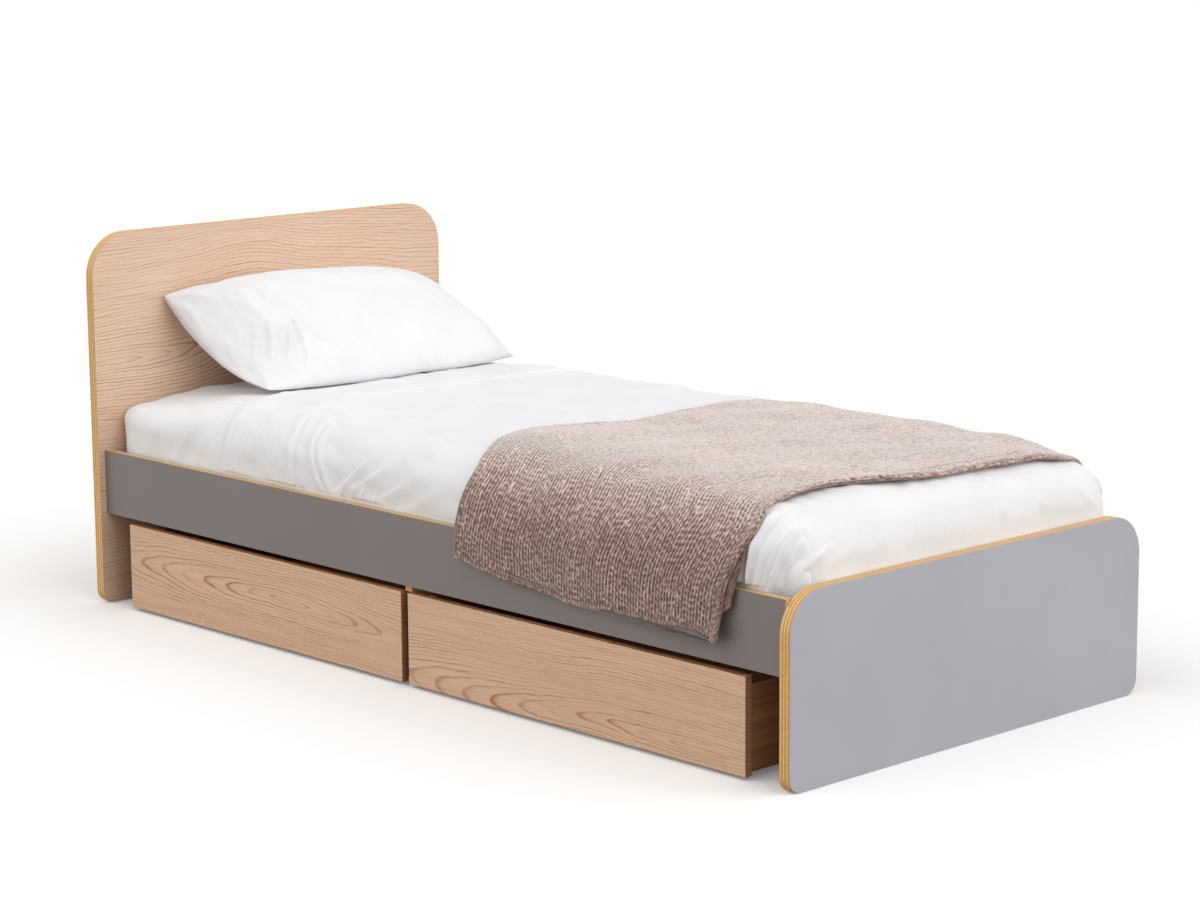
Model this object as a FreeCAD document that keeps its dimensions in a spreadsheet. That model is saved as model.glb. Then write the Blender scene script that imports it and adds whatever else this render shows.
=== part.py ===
import FreeCAD, Part
import math
import os
import Sketcher
from FreeCAD import Placement, Rotation, Vector

# Single bed with two roll-out drawers. Millimetres. +X runs from head to foot, the drawers open
# towards -Y, +Z is up. The origin is on the floor under the middle of the bed.

SIZES = {
    # Mattress, which the frame is built around
    "mattress_length": 2000,
    "mattress_width": 896,
    "mattress_height": 174,
    "end_gap": 5,
    "side_gap": 6,
    "soft_gap": 0.3,
    "edge_round": 90,
    "base_round": 14,
    "mattress_corner_round": 62,
    "crown_height": 10,
    "crown_run": 140,
    # Head and foot panels
    "panel_thick": 25,
    "skin_thick": 0.8,
    "skin_ease": 0.5,
    "panel_overhang": 15,
    "headboard_height": 805,
    "footboard_height": 354,
    "head_corner_round": 95,
    "foot_corner_round": 78,
    "low_corner_round": 30,
    # Side rails
    "rail_thick": 16,
    "rail_height": 138,
    "rail_bottom": 200,
    "mattress_sink": 53,
    # Slatted base
    "slat_thick": 20,
    "slat_width": 110,
    "slat_end_gap": 20,
    "slat_side_gap": 2,
    "slat_ease": 3,
    "tape_thick": 1.2,
    "tape_width": 38,
    "tape_inset": 170,
    "ledger_thick": 25,
    "ledger_height": 40,
    "ledger_gap": 5,
    # Centre support between the drawers
    "support_thick": 18,
    "support_setback": 8,
    "support_toe": 70,
    "support_gap": 1,
    # Corner angles
    "bracket_flange": 40,
    "bracket_wall": 4,
    "bracket_round": 8,
    "bracket_rise": 6,
    "bracket_clear": 5,
    # Drawers
    "drawer_margin": 90,
    "drawer_gap": 20,
    "drawer_proud": 4,
    "drawer_depth": 640,
    "front_thick": 16,
    "front_floor_gap": 7,
    "front_ease": 1.2,
    "finger_gap": 12,
    "side_inset": 6,
    "side_thick": 15,
    "side_drop": 18,
    "side_floor_gap": 12,
    "back_thick": 15,
    "back_setback": 8,
    "groove_depth": 6,
    "groove_gap": 0.2,
    "bottom_thick": 9,
    # Castors
    "wheel_radius": 16,
    "wheel_width": 14,
    "wheel_top_gap": 3.5,
    "axle_radius": 2.5,
    "axle_gap": 0.3,
    "cheek_gap": 0.6,
    "cheek_thick": 2,
    "cheek_foot": 6.5,
    "cheek_ease": 3,
    "cheek_top_half": 15,
    "plate_thick": 2.5,
    "plate_half_length": 24,
    "plate_lip": 5,
    "castor_side_gap": 45,
    "castor_end_gap": 62,
    # Top sheet, pillow and throw
    "sheet_thick": 1.2,
    "sheet_start": 355,
    "tuck_depth": 38,
    "pillow_gap": 0.5,
    "pillow_length": 780,
    "pillow_chord": 370,
    "pillow_shift": 72,
    "pillow_front_swell": 110,
    "pillow_back_swell": 52,
    "throw_thick": 10,
    "throw_gap": 0.4,
    "throw_start": 60,
    "throw_width": 830,
    "throw_hang_gap": 1.5,
    "throw_rail_rise": 4,
    "throw_near_hang": 78,
    "throw_far_hang": 90,
    "throw_hem_slope": 39,
    "throw_head_draw": 100,
    "throw_foot_draw": 30,
    "throw_fold": 9,
    # One overrun serves every cut that runs out into the open
    "overrun": 2,
}

SLAT_COUNT = 11
PILLOW_TILT_DEGREES = 32
THROW_RAIL_LEAN_DEGREES = 15

# Shares of the sizes that they multiply
SHOULDER_SHARES = (0.0, 0.25, 0.5, 0.75, 0.95)
CROWN_IN_SHARES = (0.4, 0.8)
CROWN_RISE_SHARES = (0.7, 1.0)
PILLOW_STATION_SHARES = (-1.0, -0.93, -0.75, -0.4, 0.0, 0.4, 0.75, 0.93, 1.0)
PILLOW_SWELL_SHARES = (0.1, 0.42, 0.76, 0.96, 1.0, 0.96, 0.76, 0.42, 0.1)
PILLOW_CHORD_SHARES = (1.0, 1.03, 1.02, 1.0, 1.0, 1.0, 1.02, 1.03, 1.0)
THROW_FOLD_SHARES = (1.0, 0.3, 0.75, 0.35, 0.9, 0.3)
THROW_TOP_FOLD_SHARE = 0.12
THROW_SHOULDER_FOLD_SHARE = 0.3
THROW_RAIL_FOLD_SHARE = 0.5
THROW_SHOULDER_SHARES = (0.95, 0.75, 0.5, 0.333)
THROW_NEAR_DRAW_SHARES = (0.1, 0.2, 0.35, 0.5, 0.7, 0.85, 1.0)
THROW_FAR_DRAW_SHARES = (0, 0, 0, 0, 0, 0, 0)

doc = FreeCAD.newDocument("single_bed")
sheet = doc.addObject("Spreadsheet::Sheet", "sizes")
for row, (alias, number) in enumerate(SIZES.items(), start=1):
    sheet.set(f"A{row}", alias)
    sheet.set(f"B{row}", str(number))
    sheet.setAlias(f"B{row}", alias)
doc.recompute()

# Places that several pieces share, as expressions in the sizes
rail_inner = "(sizes.mattress_width / 2 + sizes.side_gap)"
rail_outer = f"({rail_inner} + sizes.rail_thick)"
panel_half = f"({rail_outer} + sizes.panel_overhang)"
inner_half = "(sizes.mattress_length / 2 + sizes.end_gap)"
rail_top = "(sizes.rail_bottom + sizes.rail_height)"
mattress_base = f"({rail_top} - sizes.mattress_sink)"
mattress_low = f"({mattress_base} + sizes.soft_gap)"
shoulder_centre = f"({mattress_low} + sizes.mattress_height - sizes.edge_round)"
crown_top = f"({mattress_low} + sizes.mattress_height + sizes.crown_height)"
slat_top = f"({mattress_base} - sizes.tape_thick)"
slat_under = f"({slat_top} - sizes.slat_thick)"
slat_reach = f"({inner_half} - sizes.slat_end_gap)"
ledger_under = f"({slat_under} - sizes.ledger_height)"
ledger_middle = f"({rail_inner} - sizes.ledger_thick / 2)"
ledger_half = f"({inner_half} - sizes.bracket_flange - sizes.ledger_gap)"
bracket_low = "(sizes.rail_bottom + sizes.bracket_rise)"
bracket_height = f"({slat_under} - sizes.bracket_clear - {bracket_low})"
bracket_mid = f"({bracket_low} + {bracket_height} / 2)"
panel_core = "(sizes.panel_thick - 2 * sizes.skin_thick)"
rail_core = "(sizes.rail_thick - 2 * sizes.skin_thick)"
front_width = f"({inner_half} - sizes.drawer_margin - sizes.drawer_gap / 2)"
front_top = "(sizes.rail_bottom - sizes.finger_gap)"
front_face = f"({rail_outer} + sizes.drawer_proud)"
front_back = f"({front_face} - sizes.front_thick)"
box_end = f"(sizes.drawer_depth - {front_face})"
back_rear = f"({box_end} - sizes.back_setback)"
side_top = f"({front_top} - sizes.side_drop)"
box_half = f"({front_width} / 2 - sizes.side_inset)"
side_middle = f"({box_half} - sizes.side_thick / 2)"
groove_half = f"({box_half} - sizes.side_thick + sizes.groove_depth)"
board_half = f"({groove_half} - sizes.groove_gap)"
castor_height = "(2 * sizes.wheel_radius + sizes.wheel_top_gap + sizes.plate_thick)"
bottom_top = f"({castor_height} + sizes.bottom_thick)"
cheek_half = "(sizes.wheel_width / 2 + sizes.cheek_gap + sizes.cheek_thick)"

NODES = []
NORMAL_OF = {"XY_Plane": 1, "XZ_Plane": -1, "YZ_Plane": 1}


def mm(expression):
    """The value of an expression in the sizes."""
    return float(FreeCAD.Units.Quantity(str(sheet.evalExpression(expression))).Value)


# Drawing and cutting


def new_body(label, node=True):
    body = doc.addObject("PartDesign::Body", label)
    body.Label = label
    if node:
        NODES.append(body)
    return body


def place(thing, x="0", y="0", z="0"):
    for axis, expression in (("x", x), ("y", y), ("z", z)):
        thing.setExpression(f"Placement.Base.{axis}", expression)
    doc.recompute()


def new_sketch(body, role, offset="0"):
    """An empty sketch on one of the body's own planes, moved along that plane's axis by offset."""
    sketch = body.newObject("Sketcher::SketchObject", f"{body.Name}_sketch")
    plane = next(plane for plane in body.Origin.OriginFeatures if plane.Role == role)
    sketch.AttachmentSupport = [(plane, "")]
    sketch.MapMode = "FlatFace"
    sketch.setExpression("AttachmentOffset.Base.z", f"{NORMAL_OF[role]} * ({offset})")
    return sketch


def bind(sketch, constraint, name, expression):
    index = sketch.addConstraint(constraint)
    sketch.renameConstraint(index, name)
    sketch.setExpression(f"Constraints.{name}", expression)


def pin_point(sketch, geometry, end, u, v):
    """Tie a point of the sketch to its two expressions, measured from the origin."""
    for kind, expression in (("DistanceX", u), ("DistanceY", v)):
        constraint = Sketcher.Constraint(kind, -1, 1, geometry, end, mm(expression))
        bind(sketch, constraint, f"{kind}_{geometry}_{end}", expression)


def add_polygon(sketch, corners):
    points = [Vector(mm(u), mm(v), 0) for u, v in corners]
    count = len(points)
    for index in range(count):
        sketch.addGeometry(Part.LineSegment(points[index], points[(index + 1) % count]), False)
    for index in range(count):
        sketch.addConstraint(Sketcher.Constraint("Coincident", index, 2, (index + 1) % count, 1))
    for index, (u, v) in enumerate(corners):
        pin_point(sketch, index, 1, u, v)


def add_circle(sketch, u, v, radius):
    circle = Part.Circle(Vector(mm(u), mm(v), 0), Vector(0, 0, 1), mm(radius))
    index = sketch.addGeometry(circle, False)
    pin_point(sketch, index, 3, u, v)
    bind(sketch, Sketcher.Constraint("Radius", index, mm(radius)), f"Radius_{index}", radius)


def add_rounded_rectangle(sketch, half_u, half_v, radius):
    """Four lines and four tangent corner arcs about the origin."""
    a, b, r = mm(half_u), mm(half_v), mm(radius)
    up = Vector(0, 0, 1)
    ends = [
        (Vector(r - a, -b, 0), Vector(a - r, -b, 0)),
        (Vector(a, r - b, 0), Vector(a, b - r, 0)),
        (Vector(a - r, b, 0), Vector(r - a, b, 0)),
        (Vector(-a, b - r, 0), Vector(-a, r - b, 0)),
    ]
    centres = [
        Vector(a - r, r - b, 0),
        Vector(a - r, b - r, 0),
        Vector(r - a, b - r, 0),
        Vector(r - a, r - b, 0),
    ]
    for start, end in ends:
        sketch.addGeometry(Part.LineSegment(start, end), False)
    for quarter, centre in enumerate(centres):
        start_angle = (quarter - 1) * math.pi / 2
        arc = Part.ArcOfCircle(Part.Circle(centre, up, r), start_angle, start_angle + math.pi / 2)
        sketch.addGeometry(arc, False)
    for side in range(4):
        arc = 4 + side
        sketch.addConstraint(Sketcher.Constraint("Tangent", side, 2, arc, 1))
        sketch.addConstraint(Sketcher.Constraint("Tangent", arc, 2, (side + 1) % 4, 1))
        sketch.addConstraint(Sketcher.Constraint("Vertical" if side % 2 else "Horizontal", side))
        if side:
            sketch.addConstraint(Sketcher.Constraint("Equal", 4, arc))
    bind(sketch, Sketcher.Constraint("Radius", 4, r), "corner", radius)
    bind(sketch, Sketcher.Constraint("DistanceY", -1, 1, 0, 1, -b), "low_v", f"-{half_v}")
    bind(sketch, Sketcher.Constraint("DistanceX", -1, 1, 1, 1, a), "high_u", half_u)
    bind(sketch, Sketcher.Constraint("DistanceY", -1, 1, 2, 1, b), "high_v", half_v)
    bind(sketch, Sketcher.Constraint("DistanceX", -1, 1, 3, 1, -a), "low_u", f"-{half_u}")


def rectangle(u_low, u_high, v_low, v_high):
    return [(u_low, v_low), (u_high, v_low), (u_high, v_high), (u_low, v_high)]


def extrude(body, kind, sketch, length):
    """A pad or pocket that reaches evenly to both sides of its sketch."""
    feature = body.newObject(kind, f"{body.Name}_extrusion")
    feature.Profile = sketch
    feature.Midplane = True
    feature.setExpression("Length", length)
    doc.recompute()


def pad(body, role, corners, length, offset="0"):
    sketch = new_sketch(body, role, offset)
    add_polygon(sketch, corners)
    extrude(body, "PartDesign::Pad", sketch, length)


def board(label, role, corners, thick, node=True):
    """A polygon on one of the body's planes, padded evenly to both sides of it."""
    body = new_body(label, node)
    pad(body, role, corners, thick)
    return body


def check_cut(body, before):
    if body.Shape.Volume >= before:
        raise ValueError(f"a cut in {body.Label} removes nothing")


def cut(body, role, corners, length, offset="0"):
    """Cut a polygon out of a body, evenly to both sides of its sketch."""
    before = body.Shape.Volume
    sketch = new_sketch(body, role, offset)
    add_polygon(sketch, corners)
    extrude(body, "PartDesign::Pocket", sketch, length)
    check_cut(body, before)


def dress(body, kind, size_name, size, test):
    """Round or chamfer the edges of a body whose box, in the body's own frame, passes a test."""
    base = body.Tip
    names = [f"Edge{index}" for index, edge in enumerate(base.Shape.Edges, start=1) if test(edge.BoundBox)]
    feature = body.newObject(kind, f"{body.Name}_dressing")
    feature.Base = (base, names)
    feature.setExpression(size_name, size)
    doc.recompute()


def round_edges(body, radius, test):
    dress(body, "PartDesign::Fillet", "Radius", radius, test)


def chamfer_edges(body, size, test):
    dress(body, "PartDesign::Chamfer", "Size", size, test)


def along_x(box):
    return box.XLength > box.YLength + box.ZLength


def along_y(box):
    return box.YLength > box.XLength + box.ZLength


def turned(label, corners):
    """A half outline in (radius, height), turned about the body's Z axis."""
    body = new_body(label)
    sketch = new_sketch(body, "XZ_Plane")
    add_polygon(sketch, corners)
    turn = body.newObject("PartDesign::Revolution", f"{body.Name}_turn")
    turn.Profile = sketch
    turn.ReferenceAxis = (sketch, ["V_Axis"])
    doc.recompute()
    return body


def copy_at(body, x, y, z):
    """A copy of a piece with its origin at x, y, z."""
    shape = body.Shape.copy()
    shape.Placement.Base = Vector(mm(x), mm(y), mm(z))
    return shape


def shaped(label, shape):
    """A node whose solid is worked out from the sizes rather than from features."""
    node = doc.addObject("Part::Feature", label)
    node.Label = label
    node.Shape = shape
    NODES.append(node)


def group(label, shapes):
    """One node that holds several equal solids."""
    shaped(label, Part.makeCompound(shapes))


# Head and foot panels: a plywood core with a thin skin on each face


def panel_layer(label, height, top_round, thick):
    layer = board(label, "YZ_Plane", rectangle(f"-{panel_half}", panel_half, "0", height), thick)
    middle = mm(height) / 2
    round_edges(layer, top_round, lambda box: along_x(box) and box.ZMin > middle)
    round_edges(layer, "sizes.low_corner_round", lambda box: along_x(box) and box.ZMax < middle)
    return layer


def panel(name, way, height, top_round, inner_skin, outer_skin):
    """way is -1 for the panel at the head and +1 for the one at the foot."""
    middle = f"{way} * ({inner_half} + sizes.panel_thick / 2)"
    core = panel_layer(f"{name}_core", height, top_round, panel_core)
    place(core, x=middle)
    for label, side in ((inner_skin, -way), (outer_skin, way)):
        skin = panel_layer(label, height, top_round, "sizes.skin_thick")
        quarter = mm("sizes.skin_thick") / 4
        chamfer_edges(skin, "sizes.skin_ease", lambda box: side * (box.XMin + box.XMax) / 2 > quarter)
        place(skin, x=f"{middle} + {side} * ({panel_core} + sizes.skin_thick) / 2")


panel(
    "headboard",
    -1,
    "sizes.headboard_height",
    "sizes.head_corner_round",
    "headboard_front_veneer",
    "headboard_back_veneer",
)
panel(
    "footboard",
    1,
    "sizes.footboard_height",
    "sizes.foot_corner_round",
    "footboard_inner_laminate",
    "footboard_outer_laminate",
)

# Side rails between the panels, with the ledgers that carry the slats

rail_outline = rectangle(f"-{inner_half}", inner_half, "sizes.rail_bottom", rail_top)


def rail(name, way):
    """way is -1 for the rail on the drawers' side and +1 for the far one."""
    middle = f"{way} * ({rail_inner} + sizes.rail_thick / 2)"
    core = board(f"{name}_rail_core", "XZ_Plane", rail_outline, rail_core)
    place(core, y=middle)
    for label, side in ((f"{name}_rail_inner_laminate", -way), (f"{name}_rail_outer_laminate", way)):
        skin = board(label, "XZ_Plane", rail_outline, "sizes.skin_thick")
        quarter = mm("sizes.skin_thick") / 4
        chamfer_edges(skin, "sizes.skin_ease", lambda box: side * (box.YMin + box.YMax) / 2 > quarter)
        place(skin, y=f"{middle} + {side} * ({rail_core} + sizes.skin_thick) / 2")


def ledger(name, way):
    outline = rectangle(f"-{ledger_half}", ledger_half, ledger_under, slat_under)
    batten = board(f"{name}_ledger", "XZ_Plane", outline, "sizes.ledger_thick")
    place(batten, y=f"{way} * {ledger_middle}")


for rail_name, rail_way in (("near", -1), ("far", 1)):
    rail(rail_name, rail_way)
    ledger(rail_name, rail_way)

# Slats, and the tapes that space them

slat_half = f"({rail_inner} - sizes.slat_side_gap)"
slat_middle = f"({slat_top} - sizes.slat_thick / 2)"
slat_corners = rectangle("-sizes.slat_width / 2", "sizes.slat_width / 2", f"-{slat_half}", slat_half)
end_slat = f"({slat_reach} - sizes.slat_width / 2)"

for number in range(SLAT_COUNT):
    slat = board(f"slat_{number + 1:02d}", "XY_Plane", slat_corners, "sizes.slat_thick")
    chamfer_edges(slat, "sizes.slat_ease", along_y)
    place(slat, x=f"{2 * number / (SLAT_COUNT - 1) - 1} * {end_slat}", z=slat_middle)

tape_corners = rectangle(f"-{slat_reach}", slat_reach, "-sizes.tape_width / 2", "sizes.tape_width / 2")
tape = board("slat_tape", "XY_Plane", tape_corners, "sizes.tape_thick", node=False)
tape_height = f"({slat_top} + sizes.tape_thick / 2)"
tape_reach = f"({rail_inner} - sizes.tape_inset)"
group("slat_tapes", [copy_at(tape, "0", f"{way} * {tape_reach}", tape_height) for way in (-1, 1)])

# Corner angles, drawn for the corner where both faces start at the origin and run to plus

angle = board(
    "corner_angle",
    "XY_Plane",
    [
        ("0", "0"),
        ("sizes.bracket_flange", "0"),
        ("sizes.bracket_flange", "sizes.bracket_wall"),
        ("sizes.bracket_wall", "sizes.bracket_wall"),
        ("sizes.bracket_wall", "sizes.bracket_flange"),
        ("0", "sizes.bracket_flange"),
    ],
    bracket_height,
    node=False,
)
flange_end = mm("sizes.bracket_flange - sizes.bracket_wall")
round_edges(angle, "sizes.bracket_round", lambda box: along_y(box) and box.XMin > flange_end)
round_edges(angle, "sizes.bracket_round", lambda box: along_x(box) and box.YMin > flange_end)
angles = []
for end in (-1, 1):
    for side in (-1, 1):
        corner = angle.Shape.copy()
        if end > 0:
            corner = corner.mirror(Vector(0, 0, 0), Vector(1, 0, 0))
        if side > 0:
            corner = corner.mirror(Vector(0, 0, 0), Vector(0, 1, 0))
        corner.translate(Vector(end * mm(inner_half), side * mm(rail_inner), mm(bracket_mid)))
        angles.append(corner)
group("corner_brackets", angles)

# Centre support: a board on the floor, stepped to carry both rails, both ledgers and the middle slat.
# Its foot stands back from the rails, behind the drawer fronts

support_half_outline = [
    (f"({rail_outer} - sizes.support_toe)", "0"),
    (f"({rail_outer} - sizes.support_toe)", side_top),
    (f"({rail_outer} - sizes.support_setback)", front_top),
    (f"({rail_outer} - sizes.support_setback)", "sizes.rail_bottom"),
    (f"({rail_inner} - sizes.support_gap)", "sizes.rail_bottom"),
    (f"({rail_inner} - sizes.support_gap)", ledger_under),
    (f"({rail_inner} - sizes.ledger_thick - sizes.support_gap)", ledger_under),
    (f"({rail_inner} - sizes.ledger_thick - sizes.support_gap)", slat_under),
]
support_outline = support_half_outline + [(f"-{u}", v) for u, v in reversed(support_half_outline)]
board("centre_support", "YZ_Plane", support_outline, "sizes.support_thick")

# Castors: the wheel turns on an axle between the two cheeks of its housing. Both are drawn with the
# wheel's centre at the origin

plate_under = f"({castor_height} - sizes.wheel_radius - sizes.plate_thick)"
slot_width = "(sizes.wheel_width + 2 * sizes.cheek_gap)"


def castor_housing():
    housing = new_body("castor_housing", node=False)
    half_width = f"({cheek_half} + sizes.plate_lip)"
    half_length = "sizes.plate_half_length"
    corners = rectangle(f"-{half_width}", half_width, f"-{half_length}", half_length)
    pad(housing, "XY_Plane", corners, "sizes.plate_thick", f"({plate_under} + sizes.plate_thick / 2)")
    half_cheek = [
        ("sizes.cheek_top_half", plate_under),
        ("sizes.cheek_foot", "0"),
        ("sizes.cheek_foot", "(sizes.cheek_ease - sizes.cheek_foot)"),
        ("(sizes.cheek_foot - sizes.cheek_ease)", "-sizes.cheek_foot"),
    ]
    cheek = half_cheek + [(f"-{u}", v) for u, v in reversed(half_cheek)]
    pad(housing, "YZ_Plane", cheek, f"(2 * {cheek_half})")
    slot = rectangle(f"-{half_length}", half_length, "-(sizes.cheek_foot + sizes.overrun)", plate_under)
    cut(housing, "YZ_Plane", slot, slot_width)
    axle = new_sketch(housing, "YZ_Plane")
    add_circle(axle, "0", "0", "sizes.axle_radius")
    extrude(housing, "PartDesign::Pad", axle, slot_width)
    return housing


wheel_half = "sizes.wheel_width / 2"
wheel_bore = "(sizes.axle_radius + sizes.axle_gap)"
wheel_outline = rectangle(wheel_bore, "sizes.wheel_radius", f"-{wheel_half}", wheel_half)

# Drawers: front, two sides, back and bottom, on four castors

housing_model = castor_housing()
groove_low = f"({castor_height} - sizes.groove_gap)"
groove_high = f"({bottom_top} + sizes.groove_gap)"
back_front = f"({back_rear} - sizes.back_thick)"
side_groove = "(sizes.side_thick + 2 * sizes.groove_gap)"
tongue = f"(-{front_back} - sizes.groove_depth + sizes.groove_gap)"


def drawer_front(name, centre):
    outline = rectangle(f"-{front_width} / 2", f"{front_width} / 2", "sizes.front_floor_gap", front_top)
    front = board(f"{name}_front", "XZ_Plane", outline, "sizes.front_thick")
    quarter = mm("sizes.front_thick") / 4
    round_edges(front, "sizes.front_ease", lambda box: box.YMax < -quarter)
    groove = rectangle(
        "(sizes.front_thick / 2 - sizes.groove_depth)",
        "(sizes.front_thick / 2 + sizes.overrun)",
        groove_low,
        groove_high,
    )
    cut(front, "YZ_Plane", groove, f"(2 * {groove_half})")
    for end in (-1, 1):
        housing = rectangle(
            f"({end} * {side_middle} - {side_groove} / 2)",
            f"({end} * {side_middle} + {side_groove} / 2)",
            "(sizes.front_floor_gap - sizes.overrun)",
            f"({side_top} + sizes.groove_gap)",
        )
        cut(front, "XZ_Plane", housing, "(2 * sizes.groove_depth)", "sizes.front_thick / 2")
    place(front, x=centre, y=f"-({front_face} - sizes.front_thick / 2)")


def drawer_side(label, centre, way):
    """way is -1 for the side nearer the head and +1 for the one nearer the foot."""
    outline = rectangle(tongue, box_end, "sizes.side_floor_gap", side_top)
    side = board(label, "YZ_Plane", outline, "sizes.side_thick")
    groove_edges = [f"{-way} * (sizes.side_thick / 2 - sizes.groove_depth)", f"{-way} * sizes.side_thick"]
    if way > 0:
        groove_edges.reverse()
    cut(side, "XZ_Plane", rectangle(*groove_edges, groove_low, groove_high), "(2 * sizes.drawer_depth)")
    dado_front = f"({back_front} - sizes.groove_gap)"
    dado_rear = f"({back_rear} + sizes.groove_gap)"
    dado_height = f"({side_top} + sizes.overrun - {bottom_top})"
    dado = rectangle(*groove_edges, dado_front, dado_rear)
    cut(side, "XY_Plane", dado, dado_height, f"({bottom_top} + {dado_height} / 2)")
    place(side, x=f"{centre} + {way} * {side_middle}")


def drawer(name, way):
    """way is -1 for the drawer nearer the head and +1 for the one nearer the foot."""
    centre = f"{way} * (sizes.drawer_gap / 2 + {front_width} / 2)"
    drawer_front(name, centre)
    drawer_side(f"{name}_head_side", centre, -1)
    drawer_side(f"{name}_foot_side", centre, 1)
    back_outline = rectangle(f"-{board_half}", board_half, groove_high, side_top)
    back = board(f"{name}_back", "XZ_Plane", back_outline, "sizes.back_thick")
    place(back, x=centre, y=f"({back_rear} - sizes.back_thick / 2)")
    bottom_outline = rectangle(f"-{board_half}", board_half, tongue, back_rear)
    bottom = board(f"{name}_bottom", "XY_Plane", bottom_outline, "sizes.bottom_thick")
    place(bottom, x=centre, z=f"({castor_height} + sizes.bottom_thick / 2)")
    castor_reach = f"({box_half} - sizes.side_thick - sizes.castor_side_gap)"
    castors = [
        (f"{centre} + {end} * {castor_reach}", y)
        for y in (f"(sizes.castor_end_gap - {front_back})", f"({box_end} - sizes.castor_end_gap)")
        for end in (-1, 1)
    ]
    axle = "sizes.wheel_radius"
    group(f"{name}_castor_housings", [copy_at(housing_model, x, y, axle) for x, y in castors])
    for number, (x, y) in enumerate(castors, start=1):
        wheel = turned(f"{name}_wheel_{number}", wheel_outline)
        wheel.Placement = Placement(Vector(0, 0, 0), Rotation(Vector(0, 0, 1), Vector(1, 0, 0)))
        place(wheel, x, y, axle)


drawer("head_drawer", -1)
drawer("foot_drawer", 1)

# Bedding. The mattress is lofted upwards through rounded rectangles: an upright side, a round
# shoulder of a quarter turn and a low crown. The top sheet is the same form, a little larger


def cushion_levels(swell):
    """Sections of the mattress form, grown outwards by swell, from its side's foot to its crown."""
    levels = []
    for share in SHOULDER_SHARES:
        turn = share * math.pi / 2
        inset = f"(sizes.edge_round * {1 - math.cos(turn)} - ({swell}) * {math.cos(turn)})"
        corner = f"(sizes.mattress_corner_round + ({swell}) * {math.cos(turn)})"
        height = f"({shoulder_centre} + (sizes.edge_round + ({swell})) * {math.sin(turn)})"
        half_x = f"(sizes.mattress_length / 2 - {inset})"
        half_y = f"(sizes.mattress_width / 2 - {inset})"
        levels.append((half_x, half_y, corner, height))
    for inward, rise in zip(CROWN_IN_SHARES, CROWN_RISE_SHARES):
        half_x = f"(sizes.mattress_length / 2 - sizes.edge_round - sizes.crown_run * {inward})"
        half_y = f"((sizes.mattress_width / 2 - sizes.edge_round) * {1 - inward})"
        corner = f"(sizes.mattress_corner_round * {1 - inward})"
        height = f"({crown_top} - sizes.crown_height * {1 - rise} + ({swell}))"
        levels.append((half_x, half_y, corner, height))
    return levels


def cushion(label, levels, node):
    body = new_body(label, node)
    sketches = []
    for half_x, half_y, corner, height in levels:
        sketch = new_sketch(body, "XY_Plane", height)
        add_rounded_rectangle(sketch, half_x, half_y, corner)
        sketches.append(sketch)
    loft = body.newObject("PartDesign::AdditiveLoft", f"{label}_loft")
    loft.Profile = sketches[0]
    loft.Sections = sketches[1:]
    loft.Ruled = True
    doc.recompute()
    return body


def upright(swell, inset, height):
    """One section of the upright side, drawn in by inset."""
    grown = f"(({swell}) - ({inset}))"
    half_x = f"(sizes.mattress_length / 2 + {grown})"
    half_y = f"(sizes.mattress_width / 2 + {grown})"
    return half_x, half_y, f"(sizes.mattress_corner_round + {grown})", height


mattress_levels = [
    upright("0", "sizes.base_round", mattress_low),
    upright("0", "0", f"({mattress_low} + sizes.base_round)"),
]
cushion("mattress", mattress_levels + cushion_levels("0"), True)

sheet_inside = "sizes.soft_gap"
sheet_outside = "(sizes.soft_gap + sizes.sheet_thick)"
sheet_forms = [
    cushion(label, [upright(swell, "0", mattress_base)] + cushion_levels(swell), False)
    for label, swell in (("sheet_outside", sheet_outside), ("sheet_inside", sheet_inside))
]
sheet_skin = doc.addObject("Part::Cut", "sheet_skin")
sheet_skin.Base, sheet_skin.Tool = sheet_forms
sheet_reach = doc.addObject("Part::Box", "sheet_reach")
sheet_reach.setExpression("Length", f"2 * {inner_half} - sizes.sheet_start")
sheet_reach.setExpression("Width", f"2 * {rail_inner}")
sheet_reach.setExpression("Height", "sizes.mattress_height + sizes.mattress_sink + sizes.tuck_depth")
sheet_low = f"({rail_top} - sizes.tuck_depth)"
place(sheet_reach, f"sizes.sheet_start - {inner_half}", f"-{rail_inner}", sheet_low)
top_sheet = doc.addObject("Part::Common", "top_sheet")
top_sheet.Label = "top_sheet"
top_sheet.Base = sheet_skin
top_sheet.Tool = sheet_reach
NODES.append(top_sheet)
doc.recompute()


def pillow():
    """A lens between two seams in every upright section, lofted along the pillow's length. The chord
    from the front seam to the back seam leans on the headboard at the tilt; the seams draw in between
    the corners."""
    tilt = math.radians(PILLOW_TILT_DEGREES)
    along = Vector(-math.cos(tilt), 0, math.sin(tilt))
    out = Vector(math.sin(tilt), 0, math.cos(tilt))
    half_chord = mm("sizes.pillow_chord") / 2
    gap = mm("sizes.pillow_gap")
    middle = Vector(
        gap - mm(inner_half) + max(PILLOW_CHORD_SHARES) * half_chord * math.cos(tilt),
        mm("sizes.pillow_shift"),
        mm(crown_top) + gap + half_chord * math.sin(tilt),
    )
    sections = []
    for station, swell, chord in zip(PILLOW_STATION_SHARES, PILLOW_SWELL_SHARES, PILLOW_CHORD_SHARES):
        centre = middle + Vector(0, station * mm("sizes.pillow_length") / 2, 0)
        front = centre - along * (chord * half_chord)
        back = centre + along * (chord * half_chord)
        upper = centre + out * (swell * mm("sizes.pillow_front_swell"))
        lower = centre - out * (swell * mm("sizes.pillow_back_swell"))
        arcs = [Part.Arc(front, upper, back).toShape(), Part.Arc(back, lower, front).toShape()]
        sections.append(Part.Wire(arcs))
    return Part.makeLoft(sections, True, True)


shaped("pillow", pillow())


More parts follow.
